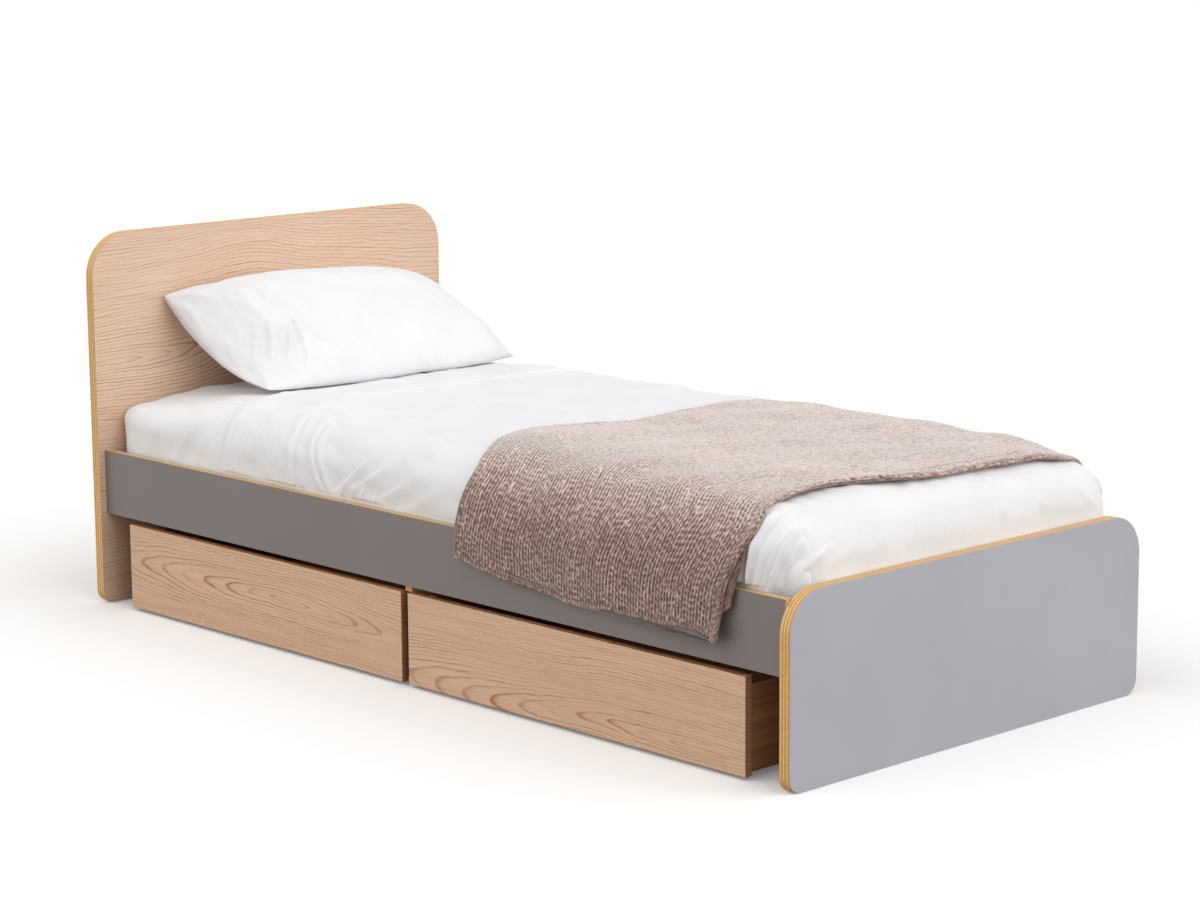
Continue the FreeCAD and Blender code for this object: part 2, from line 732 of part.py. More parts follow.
def throw_stations(hang, draw_shares):
    """Places of the throw's underside from the middle of the bed out to a hem.

    They follow the top sheet over its crown and round its shoulder, leave it on a straight line to the
    rail's top and hang beside the rail. Each is (y outwards, z, angle of the way out above level, fold
    share, draw share, slope share)."""
    lift = mm(f"{sheet_outside} + sizes.throw_gap")
    plateau = mm("sizes.mattress_width / 2 - sizes.edge_round")
    upright_angle = math.pi / 2
    stations = [(0, mm(crown_top) + lift, upright_angle, THROW_TOP_FOLD_SHARE, 0, 0)]
    for inward, rise in reversed(list(zip(CROWN_IN_SHARES, CROWN_RISE_SHARES))):
        height = mm(crown_top) - mm("sizes.crown_height") * (1 - rise) + lift
        stations.append((plateau * (1 - inward), height, upright_angle, THROW_TOP_FOLD_SHARE, 0, 0))
    radius = mm("sizes.edge_round") + lift
    for share, draw in zip(THROW_SHOULDER_SHARES, draw_shares):
        turn = share * upright_angle
        y = plateau + radius * math.cos(turn)
        z = mm(shoulder_centre) + radius * math.sin(turn)
        stations.append((y, z, turn, THROW_SHOULDER_FOLD_SHARE, draw, 0))
    hang_y = mm(f"{rail_outer} + sizes.throw_hang_gap")
    rail_z = mm(f"{rail_top} + sizes.throw_rail_rise")
    hem_z = mm(f"{rail_top}") - hang
    lean = math.radians(THROW_RAIL_LEAN_DEGREES)
    rail_draw, middle_draw, hem_draw = draw_shares[-3:]
    stations.append((hang_y, rail_z, lean, THROW_RAIL_FOLD_SHARE, rail_draw, 0))
    middle_share = (1 + THROW_RAIL_FOLD_SHARE) / 2
    stations.append((hang_y, (rail_z + hem_z) / 2, 0, middle_share, middle_draw, middle_draw / 2))
    stations.append((hang_y, hem_z, 0, 1, hem_draw, hem_draw))
    return stations


def throw_section(side, station):
    """One closed section of the throw: a row of shallow arcs underneath and the same row on top."""
    y, z, angle, fold_share, draw, slope = station
    out = Vector(0, side * math.cos(angle), math.sin(angle))
    count = len(THROW_FOLD_SHARES)
    start = mm("sizes.throw_start") + draw * mm("sizes.throw_head_draw")
    end = mm("sizes.throw_start + sizes.throw_width") - draw * mm("sizes.throw_foot_draw")
    drop = slope * mm("sizes.throw_hem_slope")
    knots = [
        Vector(start + (end - start) * number / count, side * y, z + drop * (count / 2 - number) / count)
        for number in range(count + 1)
    ]
    crests = [
        (knots[number] + knots[number + 1]) / 2 + out * (fold_share * share * mm("sizes.throw_fold"))
        for number, share in enumerate(THROW_FOLD_SHARES)
    ]
    up = out * mm("sizes.throw_thick")
    under = [Part.Arc(knots[n], crests[n], knots[n + 1]).toShape() for n in range(count)]
    over = [
        Part.Arc(knots[n + 1] + up, crests[n] + up, knots[n] + up).toShape() for n in reversed(range(count))
    ]
    foot_end = Part.makeLine(knots[-1], knots[-1] + up)
    head_end = Part.makeLine(knots[0] + up, knots[0])
    return Part.Wire(under + [foot_end] + over + [head_end])


near_stations = throw_stations(mm("sizes.throw_near_hang"), THROW_NEAR_DRAW_SHARES)
far_stations = throw_stations(mm("sizes.throw_far_hang"), THROW_FAR_DRAW_SHARES)
throw_sections = [throw_section(-1, station) for station in reversed(near_stations)]
throw_sections += [throw_section(1, station) for station in far_stations[1:]]
shaped("throw", Part.makeLoft(throw_sections, True, True))

# Every object has to be sound before a file is written

doc.recompute()
for thing in doc.Objects:
    if "Invalid" in thing.State or "Error" in thing.State:
        raise ValueError(f"{thing.Label} failed: {thing.State}")
for node in NODES:
    if node.Shape.isNull() or not node.Shape.isValid() or not node.Shape.Solids:
        raise ValueError(f"{node.Label} has no sound solid")

os.makedirs("parts", exist_ok=True)
for node in NODES:
    node.Shape.exportStep(f"parts/{node.Label}.step")
print(len(NODES), "nodes")
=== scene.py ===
"""Single bed with two roll-out drawers: the finish of every surface and the bedding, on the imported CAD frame.

Metres. +X runs from the head to the foot, the drawers open towards -Y, and the floor is z = 0.
"""
import math

import bmesh
import bpy
import numpy as np
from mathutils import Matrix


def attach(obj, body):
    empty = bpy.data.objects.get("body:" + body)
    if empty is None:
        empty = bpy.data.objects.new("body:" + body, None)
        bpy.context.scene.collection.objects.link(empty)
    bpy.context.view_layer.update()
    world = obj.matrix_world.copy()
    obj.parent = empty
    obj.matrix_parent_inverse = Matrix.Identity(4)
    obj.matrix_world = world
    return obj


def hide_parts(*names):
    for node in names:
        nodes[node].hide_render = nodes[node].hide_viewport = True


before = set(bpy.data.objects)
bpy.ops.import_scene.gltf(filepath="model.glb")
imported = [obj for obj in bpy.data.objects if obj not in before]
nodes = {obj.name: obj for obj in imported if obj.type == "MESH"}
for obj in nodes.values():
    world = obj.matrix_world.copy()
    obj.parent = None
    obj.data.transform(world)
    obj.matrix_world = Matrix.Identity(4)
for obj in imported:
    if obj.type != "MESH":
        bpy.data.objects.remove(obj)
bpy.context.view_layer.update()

# View and studio

CAMERA_PLACE = (4.5153, -4.2197, 1.5380)
CAMERA_TURN = 46.600          # degrees from looking along +Y
CAMERA_DOWN = 10.425          # degrees below level
CAMERA_ROLL = -0.408          # degrees
CAMERA_LENS = 93.125          # mm
SENSOR_WIDTH = 36.0           # mm
CAMERA_REACH = 500.0

WHITE = (1.0, 1.0, 1.0, 1.0)
SKY_STRENGTH = 0.48
# each soft lamp: where it shines from, its strength and how many degrees across it is
SOFT_LAMPS = {
    "key_lamp": ((0.90, 0.32, 0.52), 2.10, 95.0),
    "side_lamp": ((-0.45, -0.75, 0.45), 1.30, 80.0),
}
FLOOR_COLOUR = (251, 250, 249)
FLOOR_GRAIN = 0.99            # the darkest of the floor's grain, as a share of its colour
FLOOR_BOUNCE = (154, 145, 136)   # what the floor gives back to the bed
FLOOR_LIFT = 0.12             # brings the bare floor up to white where it is seen
FLOOR_REACH = 60.0


def place_camera():
    """The camera's three axes come from its turn, its downward tilt and a small roll about the view line."""
    turn, down, roll = (math.radians(a) for a in (CAMERA_TURN, CAMERA_DOWN, CAMERA_ROLL))
    back = np.array([math.sin(turn) * math.cos(down), -math.cos(turn) * math.cos(down), math.sin(down)])
    right = np.array([math.cos(turn), math.sin(turn), 0.0])
    up = np.cross(back, right)
    across = math.cos(roll) * right + math.sin(roll) * up
    upward = math.cos(roll) * up - math.sin(roll) * right
    pose = np.eye(4)
    pose[:3, 0], pose[:3, 1], pose[:3, 2], pose[:3, 3] = across, upward, back, CAMERA_PLACE
    data = bpy.data.cameras.new("photo_view")
    data.sensor_width, data.sensor_fit, data.lens = SENSOR_WIDTH, "HORIZONTAL", CAMERA_LENS
    data.clip_end = CAMERA_REACH
    camera = bpy.data.objects.new("photo_view", data)
    camera.matrix_world = pose.T.tolist()
    bpy.context.scene.collection.objects.link(camera)
    bpy.context.scene.camera = camera


# Shading helpers

MIX_FIRST, MIX_SECOND, MIX_RESULT = 6, 7, 2   # the colour sockets of a Mix node


def tint(red, green, blue):
    """A colour given as it is seen, 0 to 255, as the linear values that shaders use."""
    seen = np.array([red, green, blue]) / 255.0
    linear = np.where(seen <= 0.04045, seen / 12.92, ((seen + 0.055) / 1.055) ** 2.4)
    return (*linear.tolist(), 1.0)


def grey(value):
    return (value, value, value, 1.0)


def scaled(colour, share):
    return tuple(channel * share for channel in colour)


class Shading:
    """The node tree of a material or of the sky, with short ways to add nodes. What feeds a node is a plain
    value or another node's output."""

    def __init__(self, tree):
        self.tree = tree

    def feed(self, socket, value):
        """Links a socket to an output, or sets a plain value on it."""
        if isinstance(value, bpy.types.NodeSocket):
            self.tree.links.new(value, socket)
        else:
            socket.default_value = value

    def add(self, kind, *values, out=0, **named):
        """One node. Values feed its sockets in order; a named value with a capital feeds that socket, any
        other name sets a property. Gives back the output asked for."""
        node = self.tree.nodes.new("ShaderNode" + kind)
        for name, value in named.items():
            if name[0].islower():
                setattr(node, name, value)
        for socket, value in zip(node.inputs, values):
            self.feed(socket, value)
        for name, value in named.items():
            if name[0].isupper():
                self.feed(node.inputs[name.replace("_", " ")], value)
        return node.outputs[out]

    def math(self, operation, *values):
        return self.add("Math", *values, operation=operation)

    def plus(self, first, second):
        return self.math("ADD", first, second)

    def minus(self, first, second):
        return self.math("SUBTRACT", first, second)

    def times(self, first, second):
        return self.math("MULTIPLY", first, second)

    def swing(self, noise, reach):
        """Noise moved to run either side of zero, over the given reach in all."""
        return self.times(self.minus(noise, 0.5), reach)

    def levels(self, value, low, high, to_low=0.0, to_high=1.0):
        """Stretches a value from one range to another and holds it inside the new range."""
        return self.add("MapRange", value, low, high, to_low, to_high)

    def noise(self, place, scale, detail, seed=None, **named):
        """Noise from 0 to 1. The scale is in marks a metre, one number or one for each axis, so that the
        marks run long one way. A seed picks one pattern out of many."""
        if not isinstance(scale, float):
            place = self.add("Mapping", place, Scale=scale)
            scale = 1.0
        if seed is not None:
            named.update(W=seed, noise_dimensions="4D")
        return self.add("TexNoise", place, Scale=scale, Detail=detail, **named)

    def shades(self, factor, *stops, smooth=False):
        """A colour that follows a factor through (place, colour) stops."""
        node = self.tree.nodes.new("ShaderNodeValToRGB")
        ramp = node.color_ramp
        ramp.interpolation = "EASE" if smooth else "LINEAR"
        while len(ramp.elements) < len(stops):
            ramp.elements.new(1.0)
        for element, (place, colour) in zip(ramp.elements, stops):
            element.position = place
            element.color = colour
        self.feed(node.inputs[0], factor)
        return node.outputs[0]

    def tints(self, factor, *stops):
        """Shades whose colours are given as they are seen."""
        return self.shades(factor, *((place, tint(*colour)) for place, colour in stops))

    def blend(self, kind, factor, first, second):
        """Two colours mixed by a factor: MIX, MULTIPLY or the like."""
        node = self.tree.nodes.new("ShaderNodeMix")
        node.data_type, node.blend_type = "RGBA", kind
        self.feed(node.inputs[0], factor)
        self.feed(node.inputs[MIX_FIRST], first)
        self.feed(node.inputs[MIX_SECOND], second)
        return node.outputs[MIX_RESULT]

    def parts(self, vector):
        """The x, y and z of a vector."""
        node = self.tree.nodes.new("ShaderNodeSeparateXYZ")
        self.feed(node.inputs[0], vector)
        return node.outputs

    def seen(self):
        """1 where the camera looks, also in a reflection and through glass, and 0 for other light."""
        path = self.tree.nodes.new("ShaderNodeLightPath")
        looks = self.math("MAXIMUM", path.outputs["Is Camera Ray"], path.outputs["Is Glossy Ray"])
        return self.math("MAXIMUM", looks, path.outputs["Is Transmission Ray"])


class Finish(Shading):
    """A material with one Principled shader, whose plain sockets are set by name, and what feeds it."""

    def __init__(self, name, **sockets):
        self.material = bpy.data.materials.new(name)
        self.material.use_nodes = True
        super().__init__(self.material.node_tree)
        self.shader = self.tree.nodes["Principled BSDF"]
        for socket, value in sockets.items():
            self.shader.inputs[socket.replace("_", " ")].default_value = value

    def on_object(self):
        return self.add("TexCoord", out="Object")

    def on_cloth(self):
        return self.add("TexCoord", out="UV")

    def facing(self):
        """The x, y and z of the way that the surface faces."""
        return self.parts(self.add("NewGeometry", out="Normal"))

    def done(self, colour, roughness, height, depth, strength):
        """Colour, roughness and a bump of the given depth in metres go into the shader."""
        self.feed(self.shader.inputs["Base Color"], colour)
        self.feed(self.shader.inputs["Roughness"], roughness)
        bump = self.add("Bump", Height=height, Strength=strength, Distance=depth)
        self.feed(self.shader.inputs["Normal"], bump)
        return self.material


# Mesh helpers

TINY = 1e-9                   # keeps a division from meeting zero
WELD_GAP, KNIT_WELD_GAP = 0.0002, 0.00002   # points closer than this are merged


def node_box(name):
    """The lowest and the highest corner of a CAD node, to the nearest micrometre."""
    mesh = nodes[name].data
    points = np.empty(len(mesh.vertices) * 3, dtype=np.float32)
    mesh.vertices.foreach_get("co", points)
    points = points.reshape(-1, 3).astype(float)
    return points.min(axis=0).round(6), points.max(axis=0).round(6)


def skin(name, points, cloth_map=None, closed_rows=False, ends=None):
    """A mesh over a grid of points, one quad a cell, smooth. cloth_map gives each point's place on the flat
    cloth in metres, which becomes the UV map. closed_rows joins each row's last point to its first, and ends
    are triangles of point numbers that close the first and last row."""
    rows, columns = points.shape[:2]
    number = np.arange(rows * columns).reshape(rows, columns)
    if closed_rows:
        number = np.concatenate([number, number[:, :1]], axis=1)
    quads = np.stack([number[:-1, :-1], number[:-1, 1:], number[1:, 1:], number[1:, :-1]], axis=-1)
    quads = quads.reshape(-1, 4)
    mesh = bpy.data.meshes.new(name)
    mesh.vertices.add(rows * columns)
    mesh.vertices.foreach_set("co", points.astype(np.float32).ravel())
    ends = np.empty((0, 3), dtype=int) if ends is None else ends
    corners = np.concatenate([quads.ravel(), ends.ravel()])
    starts = np.concatenate([np.arange(0, quads.size, 4), quads.size + np.arange(0, ends.size, 3)])
    mesh.loops.add(len(corners))
    mesh.loops.foreach_set("vertex_index", corners.astype(np.int32))
    mesh.polygons.add(len(starts))
    mesh.polygons.foreach_set("loop_start", starts.astype(np.int32))
    mesh.polygons.foreach_set("use_smooth", np.ones(len(starts), dtype=bool))
    if cloth_map is not None:
        layer = mesh.uv_layers.new(name="cloth")
        layer.data.foreach_set("uv", cloth_map.reshape(-1, 2)[corners].astype(np.float32).ravel())
    mesh.update(calc_edges=True)
    mesh.validate()
    piece = bpy.data.objects.new(name, mesh)
    bpy.context.scene.collection.objects.link(piece)
    return piece


def zipped(first, second, first_at, second_at):
    """Triangles between two rows of point numbers that run the same way: at each step the row whose next
    point comes sooner moves on by one."""
    order = np.argsort(np.concatenate([first_at[1:], second_at[1:]]), kind="stable")
    moves = order < len(first) - 1
    i = np.cumsum(moves) - moves
    j = np.arange(len(moves)) - i
    next_first = first[np.minimum(i + 1, len(first) - 1)]
    next_second = second[np.minimum(j + 1, len(second) - 1)]
    return np.stack([first[i], second[j], np.where(moves, next_first, next_second)], axis=-1)


def weld(piece, gap=WELD_GAP):
    """Merges the points that share a place, such as a seam or a pole, and turns every face outwards."""
    shape = bmesh.new()
    shape.from_mesh(piece.data)
    bmesh.ops.remove_doubles(shape, verts=shape.verts, dist=gap)
    bmesh.ops.recalc_face_normals(shape, faces=shape.faces)
    shape.to_mesh(piece.data)
    shape.free()


def outward(points):
    """Unit normals of a grid with closed rows, from the cross product of its two directions."""
    down = np.gradient(points, axis=0)
    along = (np.roll(points, -1, axis=1) - np.roll(points, 1, axis=1)) / 2
    normal = np.cross(along, down)
    return normal / np.maximum(np.linalg.norm(normal, axis=-1, keepdims=True), TINY)


def run_lengths(points, axis):
    """Distance covered along each row or column of points, starting from zero."""
    first = np.take(points, [0], axis=axis)
    return np.cumsum(np.linalg.norm(np.diff(points, axis=axis, prepend=first), axis=-1), axis=axis)


def ease(value, low, high):
    """0 below low, 1 above high, a smooth S between."""
    t = np.clip((value - low) / (high - low), 0.0, 1.0)
    return t * t * (3.0 - 2.0 * t)


def bell(value, middle, width):
    return np.exp(-((value - middle) / width) ** 2)


def ripple(first, second, height, size, seed, waves=7):
    """Soft unevenness up and down by about the height: a sum of sine waves of about one size in seeded
    directions."""
    chance = np.random.default_rng(seed)
    turn = chance.uniform(0, 2 * np.pi, waves)
    pace = 2 * np.pi / (size * chance.uniform(0.6, 1.7, waves))
    shift = chance.uniform(0, 2 * np.pi, waves)
    total = sum(np.sin(k * (first * np.cos(a) + second * np.sin(a)) + s)
                for a, k, s in zip(turn, pace, shift))
    return height * total / math.sqrt(waves)


def smooth_between(value, places, heights):
    """A smooth curve through given places: a cubic whose slope at each place is the mean of its two
    neighbours'."""
    slopes = np.gradient(heights, places)
    i = np.clip(np.searchsorted(places, value) - 1, 0, len(places) - 2)
    gap = places[i + 1] - places[i]
    t = np.clip((value - places[i]) / gap, 0.0, 1.0)
    return ((1 + 2 * t) * (1 - t) ** 2 * heights[i] + t * (1 - t) ** 2 * gap * slopes[i]
            + t * t * (3 - 2 * t) * heights[i + 1] + t * t * (t - 1) * gap * slopes[i + 1])


def creases(first, second, lines):
    """Height of the folds in a sheet. Each line runs from one flat point to another; its height is a bell
    across the line, is bowed sideways in the middle, and fades out at both ends. The far side of a bell falls
    three times as steeply as the near side, as where cloth lies over itself."""
    height = np.zeros_like(first)
    for x0, y0, x1, y1, width, rise, bow in lines:
        run = math.hypot(x1 - x0, y1 - y0)
        along = ((first - x0) * (x1 - x0) + (second - y0) * (y1 - y0)) / run ** 2
        aside = ((first - x0) * (y1 - y0) - (second - y0) * (x1 - x0)) / run
        aside = aside - bow * 4 * along * (1 - along)
        fade = np.sqrt(np.clip(np.sin(np.pi * np.clip(along, 0, 1)), 0, 1))
        height += rise * np.exp(-(aside / np.where(aside * rise > 0, width, width / 3)) ** 2) * fade
    return height


# Finishes

# noises in the oak: marks a metre along the grain and across it, and detail
OAK_NOISES = {
    "bend": (1.3, 5.0, 1.0),
    "wave": (6.0, 22.0, 2.0),
    "shiver": (26.0, 90.0, 2.0),
    "patch": (1.6, 9.0, 3.0),
    "fibre": (14.0, 620.0, 3.0),
    "streak": (5.0, 210.0, 2.0),
    "pore": (34.0, 900.0, 1.0),
}
OAK_WANDER = {"bend": 0.075, "wave": 0.016, "shiver": 0.0050}    # how far each moves the rings
LATE_WOOD = ((0.0, 0.0), (0.55, 0.10), (0.87, 1.0), (0.98, 0.0))   # place in a ring, and darkness there
OAK_PATCH = (0.93, 0.915, 0.90, 1.0)  # the darker patches, as a share of the colour
END_GRAIN_AND_PAINTED_SHADE = (0.50, 0.37, 0.28, 1.0)   # how much darker and redder the narrow edges of a board are than its face: in part end grain, in part painted shade of the gaps they face
BOARD_OAK = ((238, 210, 186), (222, 188, 161), (180, 136, 105))    # pale, middle and dark
DRAWER_OAK = ((234, 200, 170), (219, 178, 144), (174, 108, 66))
DRAWER_BOX_SHADED_OAK = ((180, 126, 84), (144, 92, 56))                   # pale and dark, darker and redder than the fronts' oak: painted shade, as the boxes stand in shade under the bed
# a pair of plies with their glue lines: place across the pair, and colour
PLY_BANDS = ((0.0, (246, 214, 150)), (0.40, (240, 200, 126)), (0.47, (176, 120, 58)),
             (0.53, (206, 150, 78)), (0.93, (216, 162, 90)), (1.0, (170, 114, 54)))
PLY_FACE = ((0.35, (214, 180, 134)), (0.65, (236, 208, 166)))
THREAD_PAIR = 0.0009          # length of cotton that holds two threads


def oak(name, colours, grain, heart, slope, ring, arch, seed):
    """Flat-sawn oak veneer. A growth ring is a line of equal distance from the heart, where the distance
    along the grain counts only by a small slope, so the lines run straight far from the heart and close into
    a narrow eye at it. An arch, given by its place, width and rise, lifts them in a bell about one place.
    Three sizes of noise make them wander, and stretched noise draws the fibres and pores. The edges of a board
    are darker and redder than its face, in part as end grain and in part as painted shade."""
    new = Finish(name, Specular_IOR_Level=0.32)
    pale, mid, dark = colours
    place = new.on_object()
    axes = new.parts(place)
    lengthwise, upward = axes[grain], axes[2]
    noises = {}
    for shift, (kind, (along, across, detail)) in enumerate(OAK_NOISES.items()):
        scale = [across] * 3
        scale[grain] = along
        noises[kind] = new.noise(place, scale, detail, seed + shift, Roughness=0.55)
    patch, fibre = noises["patch"], noises["fibre"]

    rise = new.minus(upward, heart[1])
    for kind, reach in OAK_WANDER.items():
        rise = new.plus(rise, new.swing(noises[kind], reach))
    arch_place, arch_width, arch_rise = arch
    off_arch = new.times(new.minus(lengthwise, arch_place), 1.0 / arch_width)
    hump = new.math("POWER", math.e, new.times(new.times(off_arch, off_arch), -1.0))
    rise = new.minus(rise, new.times(hump, arch_rise))
    run = new.times(new.minus(lengthwise, heart[0]), slope)
    away = new.math("SQRT", new.plus(new.times(rise, rise), new.times(run, run)))
    count = new.times(away, 1.0 / ring)
    late = new.shades(new.math("FRACT", count), *((at, grey(depth)) for at, depth in LATE_WOOD), smooth=True)
    year = new.add("TexWhiteNoise", W=new.math("FLOOR", count), noise_dimensions="1D")
    late = new.times(late, new.levels(year, 0.0, 1.0, 0.45, 1.10))
    line = new.times(late, new.levels(patch, 0.32, 0.66, 0.36, 0.86))

    pore = new.levels(noises["pore"], 0.60, 0.74)
    depth = new.plus(line, new.plus(new.swing(fibre, 0.50), new.swing(noises["streak"], 0.75)))
    wood = new.tints(new.plus(depth, 0.16), (0.0, pale), (0.45, mid), (1.0, dark))
    wood = new.blend("MULTIPLY", 1.0, wood, new.shades(patch, (0.3, OAK_PATCH), (0.7, WHITE)))
    wood = new.blend("MIX", new.times(pore, 0.40), wood, tint(*dark))
    # painted shade in part: the narrow edges are darkened, partly as end grain and partly as the shade in the
    # gaps beside them
    edge = new.levels(new.math("ABSOLUTE", new.facing()[1 - grain]), 0.6, 0.9, 1.0, 0.0)
    wood = new.blend("MULTIPLY", edge, wood, END_GRAIN_AND_PAINTED_SHADE)
    relief = new.minus(new.times(fibre, 0.4), new.plus(pore, new.times(line, 0.35)))
    return new.done(wood, new.levels(pore, 0.0, 1.0, 0.46, 0.68), relief, 0.0001, 0.5)


def plywood_edge(name, axis, start, ply):
    """Bare varnished plywood: on the edges, plies of one thickness counted across the panel, every second one
    end grain and darker, with glue lines between them and fine fibres; on the faces, pale streaked birch."""
    new = Finish(name, Specular_IOR_Level=0.4)
    place = new.on_object()
    mottle = new.noise(place, 35.0, 3.0)
    across = new.plus(new.minus(new.parts(place)[axis], start), new.swing(mottle, ply * 0.22))
    bands = new.tints(new.math("FRACT", new.times(across, 0.5 / ply)), *PLY_BANDS)
    fine = [420.0] * 3
    fine[axis] = 60.0
    fibre = new.noise(place, fine, 3.0)
    fibre_tone = new.shades(fibre, (0.3, (0.86, 0.82, 0.76, 1.0)), (0.65, WHITE))
    face = new.levels(new.math("ABSOLUTE", new.facing()[axis]), 0.7, 0.9)
    streak = new.noise(place, (70.0, 70.0, 3.0), 4.0, Distortion=0.6)
    colour = new.blend("MIX", face, bands, new.tints(streak, *PLY_FACE))
    colour = new.blend("MULTIPLY", 1.0, colour, fibre_tone)
    return new.done(colour, new.levels(fibre, 0.3, 0.7, 0.36, 0.55), fibre, 0.00015, 0.5)


def plain_wood(name, pale, dark, grain, seed):
    """Sawn wood or a ply face: long soft streaks along the grain with fine fibres."""
    new = Finish(name, Specular_IOR_Level=0.3)
    place = new.on_object()
    streak_scale, fibre_scale = [60.0] * 3, [700.0] * 3
    streak_scale[grain], fibre_scale[grain] = 1.6, 20.0
    streak = new.noise(place, streak_scale, 4.0, seed, Distortion=0.6)
    fibre = new.noise(place, fibre_scale, 2.0)
    mixed = new.plus(new.times(streak, 0.75), new.times(fibre, 0.25))
    colour = new.tints(mixed, (0.34, dark), (0.62, pale))
    return new.done(colour, new.levels(fibre, 0.3, 0.7, 0.47, 0.65), fibre, 0.00012, 0.5)


def laminate(name, colour, seed):
    """Matt grey laminate: a very fine pressed texture with a faint cloudiness in tone and gloss."""
    new = Finish(name, Specular_IOR_Level=0.42)
    place = new.on_object()
    cloud = new.noise(place, 3.0, 3.0, seed)
    grit = new.noise(place, 1400.0, 1.0)
    tone = new.tints(cloud, (0.3, scaled(colour, 0.965)), (0.7, scaled(colour, 1.02)))
    tone = new.blend("MULTIPLY", 1.0, tone, new.shades(grit, (0.35, grey(0.97)), (0.65, WHITE)))
    return new.done(tone, new.levels(cloud, 0.3, 0.7, 0.36, 0.46), grit, 0.00004, 0.35)


def cotton(name, colour):
    """Plain-woven white cotton: crossing threads about half a millimetre apart with a slight slub."""
    new = Finish(name, Specular_IOR_Level=0.2, Sheen_Weight=0.15, Sheen_Roughness=0.5)
    flat = new.on_cloth()
    pace = 2 * math.pi / THREAD_PAIR
    warp, weft = (new.math("SINE", new.times(new.parts(flat)[axis], pace)) for axis in (0, 1))
    slub = new.noise(flat, (60.0, 500.0, 1.0), 2.0)
    soft = new.noise(flat, 9.0, 4.0)
    height = new.plus(new.times(new.times(warp, weft), 0.5), slub)
    uneven = new.plus(new.times(slub, 0.4), new.times(soft, 0.6))
    tone = new.tints(uneven, (0.32, scaled(colour, 0.972)), (0.62, colour))
    return new.done(tone, new.levels(slub, 0.3, 0.7, 0.78, 0.92), height, 0.0001, 0.4)


def knit(name, pale, mid, dark):
    """Loose rib knit: the yarn is coloured dark deep between the strands, as painted shade in the hollows, and
    pale on their crowns, by the height that the mesh keeps for each stitch, which also carries painted light
    where the throw lies and painted shade where it hangs, with fine flecks of fibre and slow blotches of tone
    over it on the flat cloth map."""
    new = Finish(name, Specular_IOR_Level=0.5, Sheen_Weight=1.0, Sheen_Roughness=0.50, Sheen_Tint=WHITE)
    flat = new.on_cloth()
    fleck = new.noise(flat, 420.0, 3.0)
    strand = new.noise(flat, (520.0, 130.0, 1.0), 2.0)
    blotch = new.noise(flat, 14.0, 3.0)
    body = new.add("Attribute", out="Fac", attribute_name="yarn_height_with_painted_light")
    for noise, reach in ((fleck, 0.4), (strand, 0.3), (blotch, 0.08)):
        body = new.plus(body, new.swing(noise, reach))
    # painted shade: the low yarn between the strands is coloured dark, as shade in the hollows, and the high
    # crowns pale
    colour = new.tints(body, (0.08, dark), (0.45, mid), (0.92, pale))
    fuzz = new.plus(new.times(fleck, 0.5), strand)
    return new.done(colour, new.levels(fleck, 0.3, 0.7, 0.58, 0.72), fuzz, 0.0012, 0.8)


def woven_tape(name):
    """Polyester tape: fine diagonal twill with darker edges to each rib."""
    new = Finish(name, Specular_IOR_Level=0.3)
    slanted = new.add("Mapping", new.on_object(), Rotation=(0.0, 0.0, 0.8))
    twill = new.add("TexWave", slanted, Scale=160.0, Distortion=0.4)
    colour = new.tints(twill, (0.0, (206, 200, 188)), (1.0, (232, 228, 218)))
    return new.done(colour, new.levels(twill, 0.0, 1.0, 0.85, 0.7), twill, 0.0002, 0.6)


def zinc_steel(name):
    """Zinc-plated steel: faint crystal patches and fine rolling lines."""
    new = Finish(name, Metallic=1.0)
    place = new.on_object()
    crystal = new.add("TexVoronoi", place, Scale=160.0, out="Color")
    rolled = new.noise(place, (40.0, 900.0, 900.0), 2.0)
    colour = new.tints(rolled, (0.3, (168, 168, 166)), (0.7, (196, 196, 194)))
    colour = new.blend("MIX", 0.12, colour, crystal)
    return new.done(colour, new.levels(rolled, 0.3, 0.7, 0.32, 0.5), rolled, 0.00004, 0.4)


def moulded_plastic(name, colour, roughness):
    """Moulded plastic: spark-eroded grain with slight rubbing wear in its tone."""
    new = Finish(name, Specular_IOR_Level=0.45)
    place = new.on_object()
    grain = new.add("TexVoronoi", place, Scale=900.0)
    scuff = new.noise(place, 30.0, 5.0)
    worn = tuple(min(255, channel * 1.25 + 10) for channel in colour)
    tone = new.tints(scuff, (0.4, colour), (0.8, worn))
    gloss = new.levels(scuff, 0.3, 0.7, roughness - 0.06, roughness + 0.1)
    return new.done(tone, gloss, grain, 0.00006, 0.4)


def studio_light():
    """An even sky, which looks white where it is seen, and two wide soft lamps."""
    scene = bpy.context.scene
    scene.view_settings.view_transform = "Standard"
    world = bpy.data.worlds.new("studio_sky")
    scene.world = world
    world.use_nodes = True
    sky = Shading(world.node_tree)
    back = sky.tree.nodes["Background"]
    back.inputs["Color"].default_value = WHITE
    sky.feed(back.inputs["Strength"], sky.levels(sky.seen(), 0.0, 1.0, SKY_STRENGTH, 1.0))
    for name, (place, strength, spread) in SOFT_LAMPS.items():
        lamp = bpy.data.lights.new(name, "SUN")
        lamp.energy, lamp.angle = strength, math.radians(spread)
        holder = bpy.data.objects.new(name, lamp)
        toward = np.array(place) / np.linalg.norm(place)
        turn = math.atan2(toward[1], toward[0]) + math.pi / 2
        holder.rotation_euler = (math.acos(toward[2]), 0.0, turn)
        scene.collection.objects.link(holder)


